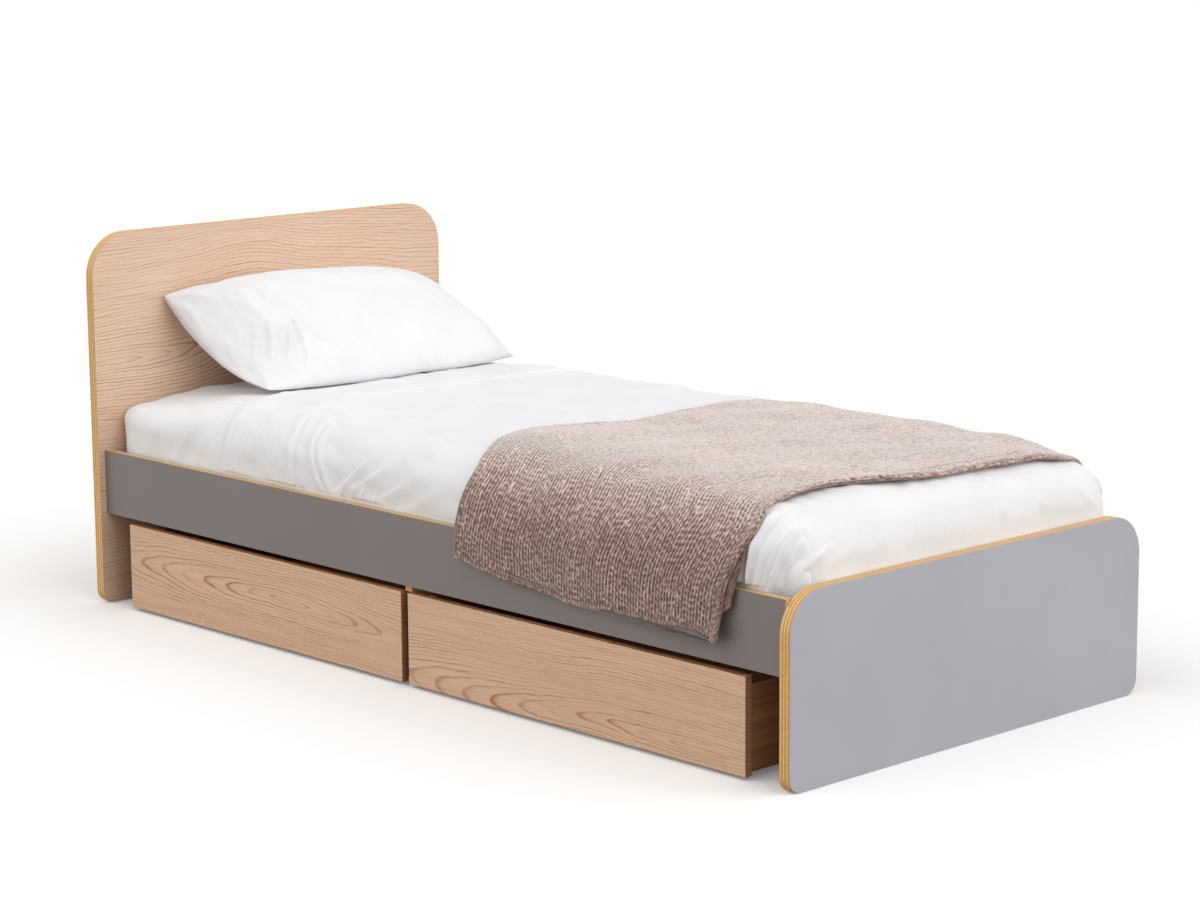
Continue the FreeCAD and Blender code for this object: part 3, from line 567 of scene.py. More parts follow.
def studio_floor():
    """A flat floor, pale where it is seen and darker in the light that it gives back. It keeps the shadow."""
    reach = np.array([-FLOOR_REACH, FLOOR_REACH])
    east, north = np.meshgrid(reach, reach)
    floor = skin("studio_floor", np.stack([east, north, np.zeros_like(east)], axis=-1)[::-1])
    new = Finish("studio_floor", Roughness=0.9, Specular_IOR_Level=0.0, Emission_Color=WHITE)
    grain = new.noise(new.on_object(), 60.0, 2.0)
    paper = new.tints(grain, (0.3, scaled(FLOOR_COLOUR, FLOOR_GRAIN)), (0.7, FLOOR_COLOUR))
    seen = new.seen()
    new.feed(new.shader.inputs["Base Color"], new.blend("MIX", seen, tint(*FLOOR_BOUNCE), paper))
    new.feed(new.shader.inputs["Emission Strength"], new.times(seen, FLOOR_LIFT))
    floor.data.materials.append(new.material)


# Bedding: sizes

MATTRESS_LOW, MATTRESS_HIGH = node_box("mattress")
HALF_LENGTH, HALF_WIDTH = MATTRESS_HIGH[:2]
BED_UNDER = MATTRESS_LOW[2]   # underside of the mattress
BOARD_FACE = node_box("headboard_front_veneer")[1][0]
PANEL_FACE = node_box("footboard_inner_laminate")[0][0]
RAIL_LOW, RAIL_HIGH = node_box("far_rail_inner_laminate")
RAIL_FACE, RAIL_TOP = RAIL_LOW[1], RAIL_HIGH[2]
TOP_FOOT, TOP_HEAD = 0.469, 0.450
HEAD_FALL_SPAN = (0.45, 1.0)  # the top goes from one to the other over this span towards the head
CROWN = 0.004                 # rise of the top's middle, lengthwise and crosswise
HEAD_SLOPE = 0.016            # how far the top falls to the near edge at the head
HEAD_SLOPE_SPANS = ((0.55, 0.95), (0.20, 0.46))   # towards the head and towards the near edge
CORNER_SAG = 0.040            # how far it falls at the far corner of the foot
CORNER_SAG_SPANS = ((0.74, 1.02), (0.24, 0.47))   # towards the foot and towards the far edge
HEAD_ROUND, FOOT_ROUND = 0.030, 0.100
FAR_ROUND = 0.050
NEAR_ROUND_HEAD, NEAR_ROUND = 0.034, 0.092
NEAR_ROUND_SPAN = (-0.98, -0.55)   # x over which the near edge goes from one to the other
BASE_ROUND = 0.014            # lower edge of the mattress
CORNER_POWER = 4              # how squarely a sheet turns the corner at the foot
CLOTH = 0.0020                # how far one cover stands off the one below


def near_round(x):
    """Radius of the near top edge: tight at the head, where only the fitted sheet covers it, softer below."""
    return NEAR_ROUND_HEAD + (NEAR_ROUND - NEAR_ROUND_HEAD) * ease(x, *NEAR_ROUND_SPAN)


def far_corner(x, y):
    """How far the far corner at the foot sags below the rest of the top."""
    to_foot, to_edge = CORNER_SAG_SPANS
    return CORNER_SAG * ease(x, *to_foot) * ease(y, *to_edge)


def bed_top(x, y):
    """Height of the mattress top: a low crown, highest in the middle, lower to the head, to the near edge
    there and at the far corner of the foot."""
    fall = (TOP_FOOT - TOP_HEAD) * ease(-x, *HEAD_FALL_SPAN)
    to_head, to_edge = HEAD_SLOPE_SPANS
    slope = HEAD_SLOPE * ease(-x, *to_head) * ease(-y, *to_edge)
    crown = CROWN * (1 - (x / HALF_LENGTH) ** 2) - CROWN * (y / HALF_WIDTH) ** 2
    return TOP_FOOT + crown - fall - slope - far_corner(x, y)


def over_bed(along, across, lift):
    """Where a point of a flat sheet lands on the bed. Past the flat top it follows a quarter round of the
    edge and then hangs straight; where it passes the foot and a side at once, the two are joined round the
    corner. The lift is how far it stands off."""
    side_round = np.where(across < 0, near_round(along), FAR_ROUND)
    flat_x, flat_y = HALF_LENGTH - FOOT_ROUND, HALF_WIDTH - side_round
    past_x = np.maximum(along - flat_x, 0.0)
    past_y = np.maximum(np.abs(across) - flat_y, 0.0)
    past = (past_x ** CORNER_POWER + past_y ** CORNER_POWER) ** (1 / CORNER_POWER)
    size = np.maximum(np.hypot(past_x, past_y), TINY)
    part_x, part_y = past_x / size, past_y / size
    radius = FOOT_ROUND * part_x ** 2 + side_round * part_y ** 2 + TINY
    turn = np.minimum(past / radius, np.pi / 2)
    out_x = (FOOT_ROUND + lift) * np.sin(turn) * part_x
    out_y = (side_round + lift) * np.sin(turn) * part_y
    drop = (radius + lift) * (1 - np.cos(turn)) + np.maximum(past - radius * np.pi / 2, 0.0)
    x = np.minimum(along, flat_x) + out_x
    y = np.sign(across) * (np.minimum(np.abs(across), flat_y) + out_y)
    z = bed_top(np.minimum(along, flat_x), np.clip(across, -flat_y, flat_y)) + lift - drop
    return np.stack([x, y, z], axis=-1)


# Mattress in its fitted sheet

# steps of the loft: out under the mattress, up its wall, round its top edge and in over the top
LOFT_STEPS = (16, 26, 26, 46)
GIRTH_ROW = 60                # the loop in the top edge along which the cloth is measured
LOOP_CORNER, LOOP_STRAIGHT, LOOP_BEND = 0.10, 170, 12
# levels of the loft, counted in stages, over which each thing sets in or stops
BASE_LEVELS, SOFT_LEVELS = (1.0, 1.12), (1.05, 1.5)
SEAM_LEVELS, SEAM_STOP_LEVELS = (1.0, 1.3), (2.4, 3.0)
SLIM, FOOT_SLIM = 0.005, 0.006   # how much the mattress is pressed in where the top sheet covers it
SLIM_SPAN = (-0.66, -0.56)    # x over which that sets in
MATTRESS_RIPPLE = (0.0016, 0.16, 5)   # height, size and seed
SEAM_PLACE, SEAM_WIDTH, SEAM_DEPTH = -0.965, 0.004, 0.0022
# flat x and y where a fold starts and ends, its half width, its height and its sideways bow
FITTED_CREASES = [
    (-0.955, -0.58, -0.945, -0.44, 0.012, 0.0022, 0.004),
    (-0.880, -0.56, -0.835, -0.42, 0.010, 0.0022, 0.006),
    (-0.790, -0.57, -0.700, -0.43, 0.012, 0.0036, 0.010),
    (-0.720, -0.58, -0.655, -0.46, 0.012, 0.0034, 0.008),
    (-0.680, -0.58, -0.640, -0.49, 0.008, 0.0024, 0.004),
    (-0.900, -0.40, -0.760, -0.34, 0.016, 0.0022, 0.006),
    (-0.860, -0.36, -0.720, -0.30, 0.018, 0.0020, 0.006),
]
CREASE_TOP = 0.46             # height of the top edge from which the folds down the side are measured


def plain_loop(corner, straight, bend):
    """A closed loop round a square from -1 to 1 with rounded corners: four straight runs and four quarter
    rounds."""
    run = np.linspace(-1, 1, straight, endpoint=False)
    arc = np.linspace(0, np.pi / 2, bend, endpoint=False)
    edge = 1 - corner
    line = np.stack([run * edge, -np.ones_like(run)], axis=-1)
    turn = np.stack([edge + corner * np.sin(arc), -edge - corner * np.cos(arc)], axis=-1)
    side = np.concatenate([line, turn])
    sides = []
    for quarter in range(4):
        c, s = math.cos(quarter * math.pi / 2), math.sin(quarter * math.pi / 2)
        sides.append(side @ np.array([[c, s], [-s, c]]))
    return np.concatenate(sides)


def make_mattress(cover):
    """A loft of closed loops from the middle of the underside, out to its edge, up the side, round the top
    edge and in to the middle of the top. The loop's four sides each have their own inset, set by that edge's
    radius."""
    loop = plain_loop(LOOP_CORNER, LOOP_STRAIGHT, LOOP_BEND)
    level = np.concatenate([stage + np.linspace(0, 1, steps, endpoint=stage == len(LOFT_STEPS) - 1)
                            for stage, steps in enumerate(LOFT_STEPS)])[:, None]
    sx, sy = loop[None, :, 0], loop[None, :, 1]
    x_guess = HALF_LENGTH * sx
    quarter = np.clip(level - 2, 0, 1) * np.pi / 2

    def inset(radius):
        """Distance in from the outline at each level for an edge of the given radius."""
        below = (HALF_WIDTH - BASE_ROUND) * (1 - np.clip(level, 0, 1))
        below = below + BASE_ROUND * (1 - ease(level, *BASE_LEVELS))
        above = (HALF_WIDTH - radius) * np.clip(level - 3, 0, 1)
        return below + radius * (1 - np.cos(quarter)) + above + np.zeros_like(sx)

    slim = SLIM * ease(x_guess, *SLIM_SPAN)
    near = inset(near_round(x_guess)) + slim
    far = inset(FAR_ROUND) + slim
    head, foot = inset(HEAD_ROUND), inset(FOOT_ROUND) + FOOT_SLIM
    x = -(HALF_LENGTH - head) * (1 - sx) / 2 + (HALF_LENGTH - foot) * (1 + sx) / 2
    y = -(HALF_WIDTH - near) * (1 - sy) / 2 + (HALF_WIDTH - far) * (1 + sy) / 2
    at_end = np.abs(sx) * HALF_LENGTH - HALF_LENGTH > np.abs(sy) * HALF_WIDTH - HALF_WIDTH
    radius = np.where(at_end, np.where(sx < 0, HEAD_ROUND, FOOT_ROUND),
                      np.where(sy < 0, near_round(x_guess), FAR_ROUND))
    shoulder = bed_top(x, y) - slim - radius
    z = BED_UNDER + (shoulder - BED_UNDER) * np.clip(level - 1, 0, 1) + radius * np.sin(quarter)
    points = np.stack([x, y, z], axis=-1)
    soft = ripple(x + 0.5 * z, y + z, *MATTRESS_RIPPLE) * ease(level, *SOFT_LEVELS)
    seam = -SEAM_DEPTH * bell(x, SEAM_PLACE, SEAM_WIDTH) * (y < 0)
    seam = seam * ease(level, *SEAM_LEVELS) * (1 - ease(level, *SEAM_STOP_LEVELS))
    pulls = creases(x, y - (CREASE_TOP - z), FITTED_CREASES)
    points += outward(points) * (soft + seam + pulls)[..., None]
    upward = run_lengths(points, 0)
    round_about = np.broadcast_to(run_lengths(points[GIRTH_ROW], 0), x.shape)
    cloth_map = np.stack([round_about, upward], axis=-1)
    piece = skin("fitted_sheet_mattress", points, cloth_map, closed_rows=True)
    weld(piece)
    piece.data.materials.append(cover)
    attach(piece, "bed_frame")
    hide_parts("mattress")


# Top sheet

# place across the sheet, and there the x of its head edge, of the hem of its turned-down band and of the deep
# fold beyond
SHEET_ACROSS, SHEET_HEAD, SHEET_HEM, SHEET_FOLD = np.array([
    [-0.660, -0.616, -0.352, -0.236],
    [-0.560, -0.614, -0.356, -0.252],
    [-0.535, -0.613, -0.359, -0.262],
    [-0.490, -0.606, -0.366, -0.290],
    [-0.455, -0.604, -0.376, -0.312],
    [-0.415, -0.618, -0.390, -0.326],
    [-0.380, -0.640, -0.410, -0.335],
    [-0.320, -0.680, -0.452, -0.343],
    [-0.250, -0.715, -0.486, -0.349],
    [-0.100, -0.735, -0.493, -0.352],
    [0.100, -0.738, -0.492, -0.354],
    [0.400, -0.735, -0.488, -0.355],
    [0.660, -0.730, -0.480, -0.360],
]).T
SHEET_END = HALF_LENGTH + 0.235   # the foot edge, measured along the cloth
# runs of even steps: where each starts, with how many steps up to the next, across the sheet and along it
SHEET_STEPS_ACROSS = ((-0.66, 100), (-0.36, 80), (0.36, 50), (0.655, 0))
SHEET_STEPS_ALONG = ((0.0, 240), (0.31, 58), (0.80, 70), (0.89, 40), (1.0, 0))
# beside a line of the sheet: place past the line, half width, height on the top, and added on the near side
HEM_ROLLS = ((-0.010, 0.012, 0.0010, 0.0030), (0.016, 0.012, 0.0, 0.0026))
HEM_GROOVE = (0.002, 0.0028, -0.0008, -0.0044)
FOLD_ROLLS = ((-0.012, 0.013, 0.0, 0.0050), (0.013, 0.012, 0.0, 0.0042))
FOLD_GROOVE = (0.0, 0.0028, 0.0, -0.0070)
HEM_SIDE, FOLD_SIDE = (0.34, 0.43), (0.26, 0.42)   # where the near side of each line sets in
DEEPEST = -0.0010             # how far a groove may go below the plain sheet
HEM_STEP, BAND_STEP = (-0.001, 0.003), (0.0, 0.003)   # where the turned-down band ends and starts
SHEET_RIPPLES = ((0.0022, 0.22, 11), (0.0010, 0.07, 12))
RIPPLE_RISE = 0.0018          # how far the unevenness as a whole stands off
RIPPLE_SPAN = (0.0, 0.03)     # where it sets in behind the head edge
PRESSED_EDGE, PRESSED_SHARE = 0.002, 0.4   # the head edge itself lies closer
# as for the fitted sheet; the first are fine pleats under the head edge
SHEET_CREASES = [
    *((x, -0.57, x - 0.008, -0.405, 0.0060, 0.0013, 0.004) for x in np.linspace(-0.592, -0.415, 9).tolist()),
    (-0.300, -0.56, -0.286, -0.500, 0.007, 0.0030, 0.000),
    (-0.222, -0.56, -0.205, -0.495, 0.007, 0.0044, 0.004),
    (-0.196, -0.56, -0.168, -0.502, 0.006, 0.0036, 0.004),
    (-0.172, -0.56, -0.140, -0.505, 0.007, 0.0046, 0.004),
    (-0.128, -0.56, -0.105, -0.505, 0.007, 0.0030, 0.004),
    (-0.240, -0.535, -0.090, -0.400, 0.016, 0.0040, 0.010),
    (-0.190, -0.520, -0.020, -0.405, 0.014, 0.0030, 0.012),
    (-0.110, -0.530, 0.060, -0.425, 0.018, 0.0036, 0.010),
    (-0.060, -0.550, 0.100, -0.470, 0.014, 0.0026, 0.008),
    (-0.330, -0.360, -0.050, -0.260, 0.030, 0.0032, 0.012),
    (-0.320, -0.300, 0.000, -0.120, 0.040, 0.0030, 0.020),
    (-0.470, -0.180, -0.200, 0.120, 0.040, 0.0024, 0.010),
    (-0.420, 0.050, -0.100, 0.360, 0.040, 0.0024, -0.010),
    (0.848, -0.57, 0.862, -0.405, 0.009, 0.0060, 0.004),
    (0.872, -0.57, 0.886, -0.395, 0.008, 0.0090, 0.004),
    (0.896, -0.57, 0.908, -0.390, 0.009, 0.0090, 0.004),
    (0.924, -0.57, 0.936, -0.370, 0.012, 0.0100, 0.006),
    (0.950, -0.57, 0.956, -0.430, 0.007, 0.0060, 0.004),
    (0.974, -0.57, 0.970, -0.380, 0.013, 0.0110, 0.006),
    (1.012, -0.55, 0.994, -0.400, 0.011, 0.0080, 0.004),
    (1.050, -0.50, 1.010, -0.340, 0.010, 0.0060, 0.004),
    (1.100, -0.36, 1.020, -0.280, 0.010, 0.0040, 0.004),
    (1.080, -0.227, 1.004, -0.212, 0.007, 0.0065, 0.002),
    (1.080, -0.150, 1.020, -0.146, 0.006, 0.0045, 0.000),
    (1.080, -0.070, 1.006, -0.056, 0.006, 0.0060, 0.002),
    (1.080, -0.008, 1.014, 0.008, 0.006, 0.0055, 0.000),
    (1.080, 0.102, 1.004, 0.118, 0.007, 0.0065, 0.002),
    (1.080, 0.160, 1.018, 0.166, 0.006, 0.0045, 0.000),
    (1.080, 0.215, 1.008, 0.228, 0.007, 0.0060, 0.002),
    (1.070, 0.40, 0.985, 0.32, 0.013, 0.0045, 0.004),
    (0.985, 0.56, 0.978, 0.40, 0.010, 0.0050, 0.004),
    (-0.560, 0.56, -0.540, 0.40, 0.010, 0.0040, 0.006),
    (-0.300, 0.56, -0.240, 0.40, 0.012, 0.0045, 0.006),
    (0.100, 0.56, 0.050, 0.40, 0.014, 0.0040, 0.006),
]


def stepped(runs):
    """Places at even steps through several runs; only the last run includes its own end."""
    last = len(runs) - 2
    return np.concatenate([np.linspace(start, end, steps, endpoint=i == last)
                           for i, ((start, steps), (end, _)) in enumerate(zip(runs, runs[1:]))])


def rolled(past, side, rolls, groove):
    """Height beside a line of the sheet: a bell for each roll and a sharp groove in the line. Each has one
    height on top of the bed, and more on its near side."""
    height = sum((top + more * side) * bell(past, place, width) for place, width, top, more in rolls)
    place, width, top, more = groove
    return height + (top + more * side) * np.exp(-np.abs(past - place) / width)


def make_top_sheet(cover):
    """A flat sheet carried over the bed: its head edge slants down the near side, the band turned down
    behind that edge lies doubled up to its hem, and its other three edges are tucked down between the
    mattress and the frame and under it. On the near side the hem and the deep fold beyond it are grooves
    between two raised rolls."""
    share, across = np.meshgrid(stepped(SHEET_STEPS_ALONG), stepped(SHEET_STEPS_ACROSS), indexing="ij")
    start, hem_line, fold_line = (smooth_between(across, SHEET_ACROSS, line)
                                  for line in (SHEET_HEAD, SHEET_HEM, SHEET_FOLD))
    along = start + (SHEET_END - start) * share
    behind, past_hem, past_fold = along - start, along - hem_line, along - fold_line
    band = CLOTH * (1 - ease(past_hem, *HEM_STEP)) * ease(behind, *BAND_STEP)
    hem = rolled(past_hem, ease(-across, *HEM_SIDE), HEM_ROLLS, HEM_GROOVE)
    deep = rolled(past_fold, ease(-across, *FOLD_SIDE), FOLD_ROLLS, FOLD_GROOVE)
    fold = creases(along, across, SHEET_CREASES)
    soft = sum(ripple(along, across, *kind) for kind in SHEET_RIPPLES)
    soft = np.maximum(soft + RIPPLE_RISE, 0.0) * ease(behind, *RIPPLE_SPAN)
    lift = CLOTH + band + np.maximum(hem + deep + fold, DEEPEST) + soft
    lift = np.where(behind < PRESSED_EDGE, CLOTH * PRESSED_SHARE, lift)
    points = tuck_under(over_bed(along, across, lift))
    piece = skin("cotton_top_sheet", points, np.stack([along, across], axis=-1))
    weld(piece)
    piece.data.materials.append(cover)
    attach(piece, "bed_frame")
    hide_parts("top_sheet")


TUCK_BELOW = 0.0007           # how far under the mattress the tucked cloth lies
RAIL_GAP, PANEL_GAP = 0.0020, 0.0014   # how far the cloth keeps off the rails and the footboard
RAIL_PINCH = 0.002            # how much further off it goes below the rail's top edge
PINCH_FROM, PINCH_SPAN = 0.022, 0.05   # height over that edge where this sets in, and over what length
RAIL_MOUTH = 0.007            # height over that edge below which the rails hold the cloth in


def tuck_under(points):
    """What hangs past the underside of the mattress turns in below it, and nothing stands in the rails or
    panels."""
    x, y, z = points[..., 0], points[..., 1], points[..., 2]
    low = BED_UNDER - TUCK_BELOW
    spare = np.maximum(low - z, 0.0)
    tight_y = RAIL_FACE - RAIL_GAP - RAIL_PINCH * ease(RAIL_TOP + PINCH_FROM - z, 0.0, PINCH_SPAN)
    y = np.where(z < RAIL_TOP + RAIL_MOUTH, np.clip(y, -tight_y, tight_y), y)
    x = np.minimum(x, PANEL_FACE - PANEL_GAP)
    sideways = np.abs(y) / HALF_WIDTH > np.abs(x) / HALF_LENGTH
    y = np.where(sideways, np.sign(y) * (np.abs(y) - spare), y)
    x = np.where(sideways, x, x - spare)
    return np.stack([x, y, np.maximum(z, low)], axis=-1)


# Pillow

PILLOW_CORNERS = np.array([      # back near, front near, front far, back far
    [-0.999, -0.310, 0.659], [-0.720, -0.235, 0.469], [-0.727, 0.469, 0.467], [-1.010, 0.431, 0.625]])
PILLOW_FRONT, PILLOW_BACK = 0.1215, 0.0865   # how far each panel swells off the middle surface
PILLOW_STEPS = (161, 85)         # points lengthwise and crosswise on a panel
CROWDING = 0.45                  # how much closer they lie towards the seam
PILLOW_HALF = (0.39, 0.185)      # half its length and depth as it lies
PILLOW_CLOTH = (0.375, 0.25)     # half the length and depth of a panel's cloth
NEAR_OUT, FAR_OUT, FRONT_OUT, BACK_OUT = 0.012, -0.030, 0.050, -0.004   # how each seam runs out in its middle
FRONT_PUSH = 0.045               # how far the front seam is pushed towards the foot
FRONT_SLACK, BACK_SLACK = 0.15, 0.60   # how much flatter the near end is than a round one
SLACK_SPAN = (-0.6, 0.6)         # where the front's slack sets in across the panel
FULL_LONG, FULL_DEEP = 2.70, 2.81      # the higher, the fuller the dome is near its seam
FAR_TAPER = 0.05                 # how much lower the dome is towards the far end
END_SAG, END_REACH = 0.030, 0.30   # how far the near end sags, and over what share of half the length
END_WRINKLES = (0.015, 0.18, 19.0, 2.0)   # share of the swell, reach, and waves across and along
SIDE_WRINKLES = (0.02, 0.16, 27.0)        # share of the swell, reach and waves along
OFF_BOARD, OFF_BED = 0.0014, 0.0010       # gaps to the headboard and the mattress
OVER_SHEET, SHEET_STEP = 0.0040, (-0.02, 0.01)   # what the top sheet adds, from about its head edge on
BOARD_GIVE, BED_GIVE = 0.006, 0.003       # lengths over which the pillow flattens against them
PILLOW_CREASES = [               # lengthwise and crosswise start and end, half width, height and bow
    (-0.335, -0.020, -0.372, 0.050, 0.005, 0.0026, 0.002),
    (-0.312, 0.010, -0.366, 0.085, 0.005, 0.0034, 0.003),
    (-0.290, 0.020, -0.345, 0.105, 0.006, 0.0040, 0.004),
    (-0.262, 0.050, -0.330, 0.135, 0.005, 0.0034, 0.002),
    (-0.246, 0.035, -0.292, 0.150, 0.007, 0.0030, 0.005),
    (0.292, 0.055, 0.359, 0.111, 0.008, 0.0030, 0.003),
    (0.265, 0.090, 0.345, 0.145, 0.009, 0.0030, 0.003),
]


def crowded(count):
    """Places from -1 to 1 that lie closer together towards both ends."""
    even = np.linspace(-1, 1, count)
    return np.sin(np.linspace(-np.pi / 2, np.pi / 2, count)) * CROWDING + even * (1 - CROWDING)


def make_pillow(cover):
    """Two panels joined round a seam whose edges run in or out between the corners. The middle surface is
    stretched between four corners, pushed out along the front and sagging at the near end, and each panel
    swells off it by a dome that is full in the middle and thin at the seam."""
    lengthwise, depth = (crowded(count) for count in PILLOW_STEPS)
    ring = np.concatenate([depth, depth[-2:0:-1]])
    p, q = np.meshgrid(lengthwise, ring, indexing="ij")
    front = np.broadcast_to(np.arange(len(ring)) < len(depth), p.shape)
    a = (p * (1 + np.where(p < 0, NEAR_OUT, FAR_OUT) * (1 - q ** 2)) + 1) / 2
    b = (q * (1 + np.where(q > 0, FRONT_OUT, BACK_OUT) * (1 - p ** 2)) + 1) / 2
    a, b = a[..., None], b[..., None]
    near_back, near_front, far_front, far_back = PILLOW_CORNERS
    near, far = near_back * (1 - b) + near_front * b, far_back * (1 - b) + far_front * b
    middle = near * (1 - a) + far * a
    middle[..., 0] += FRONT_PUSH * (1 - p ** 2) * ease(q, 0.0, 1.0)
    chord = np.array([near_front - near_back, far_front - far_back]).mean(axis=0)
    length = np.array([far_back - near_back, far_front - near_front]).mean(axis=0)
    normal = np.cross(chord, length)
    normal /= np.linalg.norm(normal)

    slack = np.where(p < 0, np.where(front, FRONT_SLACK * ease(q, *SLACK_SPAN), BACK_SLACK), 0.0)
    dome = (1 - np.abs(p) ** FULL_LONG) ** (0.5 + slack) * np.sqrt(1 - np.abs(q) ** FULL_DEEP)
    dome = dome * (1 - FAR_TAPER * p)
    share, span, pace, drift = END_WRINKLES
    end_wrinkles = share * bell(np.abs(p), 1.0, span) * np.sin(q * pace + drift * p)
    share, span, pace = SIDE_WRINKLES
    side_wrinkles = share * bell(np.abs(q), 1.0, span) * np.sin(p * pace)
    swell = np.where(front, PILLOW_FRONT, -PILLOW_BACK) * dome * (1 + end_wrinkles + side_wrinkles)
    swell += np.where(front, creases(p * PILLOW_HALF[0], q * PILLOW_HALF[1], PILLOW_CREASES), 0.0)
    swell -= END_SAG * (1 - q ** 2) * bell(p, -1.0, END_REACH)
    points = rest_pillow(middle + swell[..., None] * normal)
    cloth_map = np.stack([p * PILLOW_CLOTH[0], np.where(front, q, 2 - q) * PILLOW_CLOTH[1]], axis=-1)
    piece = skin("cotton_pillow", points, cloth_map, closed_rows=True)
    weld(piece)
    plump(piece)
    piece.data.materials.append(cover)
    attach(piece, "bed_frame")
    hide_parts("pillow")


PLUMP_STEPS = 20
PLUMP_CLOTH = {
    "quality": 6,
    "mass": 0.2,
    "tension_stiffness": 14.0,
    "compression_stiffness": 14.0,
    "shear_stiffness": 5.0,
    "bending_stiffness": 0.35,
    "shrink_min": -0.020,
    "use_pressure": True,
    "uniform_pressure_force": 4.0,
}
AVERAGING_ROUNDS = 80
SLOW_SHARE, SLOW_LIMIT = 0.25, 0.024       # how much of the slow move stays, up to what length of it
WRINKLE_SHARE, WRINKLE_MORE = 0.15, 0.22   # how much of the rest stays, and what the near end adds
NEAR_END_SPAN = (0.02, 0.24)   # where the near end sets in, from the bed's middle line


def plump(piece):
    """Cloth blown up from inside for a few steps, cut a little large so that it buckles. The slow part of the
    move, found by averaging each point with its neighbours over and over, is held back to a share, so the
    pillow keeps its outline and takes on the wrinkles."""
    scene = bpy.context.scene
    mesh = piece.data
    start = np.empty(len(mesh.vertices) * 3, dtype=np.float32)
    mesh.vertices.foreach_get("co", start)
    blow = piece.modifiers.new("plump", "CLOTH")
    for setting, value in PLUMP_CLOTH.items():
        setattr(blow.settings, setting, value)
    blow.settings.effector_weights.gravity = 0.0
    blow.point_cache.frame_start, blow.point_cache.frame_end = 1, PLUMP_STEPS
    for step in range(1, PLUMP_STEPS + 1):
        scene.frame_set(step)
    blown = np.empty_like(start)
    piece.evaluated_get(bpy.context.evaluated_depsgraph_get()).data.vertices.foreach_get("co", blown)
    piece.modifiers.remove(blow)
    scene.frame_set(1)

    move = (blown - start).reshape(-1, 3).astype(float)
    start = start.reshape(-1, 3)
    ends = np.empty(len(mesh.edges) * 2, dtype=np.int32)
    mesh.edges.foreach_get("vertices", ends)
    here = np.concatenate([ends[0::2], ends[1::2]])
    there = np.concatenate([ends[1::2], ends[0::2]])
    neighbours = np.bincount(here, minlength=len(move))[:, None]
    slow = move.copy()
    for _ in range(AVERAGING_ROUNDS):
        total = [np.bincount(here, weights=slow[there, k], minlength=len(move)) for k in range(3)]
        slow = 0.5 * slow + 0.5 * np.stack(total, axis=-1) / neighbours
    wrinkles = (move - slow) * (WRINKLE_SHARE + WRINKLE_MORE * ease(-start[:, 1:2], *NEAR_END_SPAN))
    far = np.linalg.norm(slow, axis=1, keepdims=True)
    held = SLOW_SHARE * slow * np.minimum(1.0, SLOW_LIMIT / np.maximum(far, TINY))
    points = rest_pillow(start + held + wrinkles)
    mesh.vertices.foreach_set("co", points.astype(np.float32).ravel())
    mesh.update()


def rest_pillow(points):
    """Keeps the pillow in front of the headboard and on top of the bedding, flattened softly where it
    rests."""
    x, y, z = points[..., 0], points[..., 1], points[..., 2]
    board = BOARD_FACE + OFF_BOARD
    bed = bed_top(np.clip(x, -HALF_LENGTH, HALF_LENGTH), np.clip(y, -HALF_WIDTH, HALF_WIDTH)) + OFF_BED
    bed = bed + OVER_SHEET * ease(x - np.interp(y, SHEET_ACROSS, SHEET_HEAD), *SHEET_STEP)
    x = board + soft_stop(x - board, BOARD_GIVE)
    z = bed + soft_stop(z - bed, BED_GIVE)
    return np.stack([x, y, z], axis=-1)


def soft_stop(gap, ease_over):
    """A gap that may not go below zero, rounded near it."""
    return ease_over * np.logaddexp(0.0, gap / ease_over)


# Throw

WALES, COURSES = 92, 238        # ribs across the width, and rows of stitches along the length
WALE, COURSE = 0.0090, 0.0053   # pitch of the ribs and of the rows
THROW_LENGTH = 1.26             # along the path, from hem to hem
LAYER = 0.0050                  # thickness of one layer of the knit
INNER_UPPER, INNER_LOWER = 1.04, 0.96   # heights, in layers, of the two sides that face each other
HEM_ROUND = 0.007               # the thickness closes over this length at both hems
THROW_PATH = np.array([         # y and z of the underside across the bed, from the near hem to the far hem
    [-0.4748, 0.200], [-0.4748, 0.235], [-0.4748, 0.270], [-0.4748, 0.305], [-0.4742, 0.340],
    [-0.4665, 0.376], [-0.4520, 0.410], [-0.4290, 0.4420], [-0.3950, 0.4650], [-0.3500, 0.4745],
    [-0.2800, 0.4760], [-0.1400, 0.4780], [0.0000, 0.4785], [0.1400, 0.4780], [0.2800, 0.4765],
    [0.3700, 0.4750], [0.4120, 0.4690], [0.4420, 0.4500], [0.4620, 0.4150], [0.4725, 0.3750],
    [0.4748, 0.3400], [0.4748, 0.3050], [0.4748, 0.2700], [0.4748, 0.2350], [0.4748, 0.2000]])
# distance along the path from the bed's middle line, and the x of the head and foot edges there
THROW_EDGES = np.array([
    [-0.700, 0.168, 0.872], [-0.605, 0.168, 0.867], [-0.570, 0.167, 0.870], [-0.545, 0.167, 0.876],
    [-0.510, 0.171, 0.890], [-0.480, 0.174, 0.899], [-0.445, 0.176, 0.909], [-0.380, 0.149, 0.889],
    [-0.310, 0.102, 0.881], [-0.245, 0.079, 0.872], [-0.180, 0.090, 0.876], [-0.100, 0.135, 0.921],
    [-0.020, 0.160, 0.934], [0.080, 0.147, 0.941], [0.180, 0.144, 0.941], [0.280, 0.137, 0.942],
    [0.350, 0.146, 0.939], [0.420, 0.146, 0.922], [0.550, 0.140, 0.905], [0.700, 0.140, 0.897]])
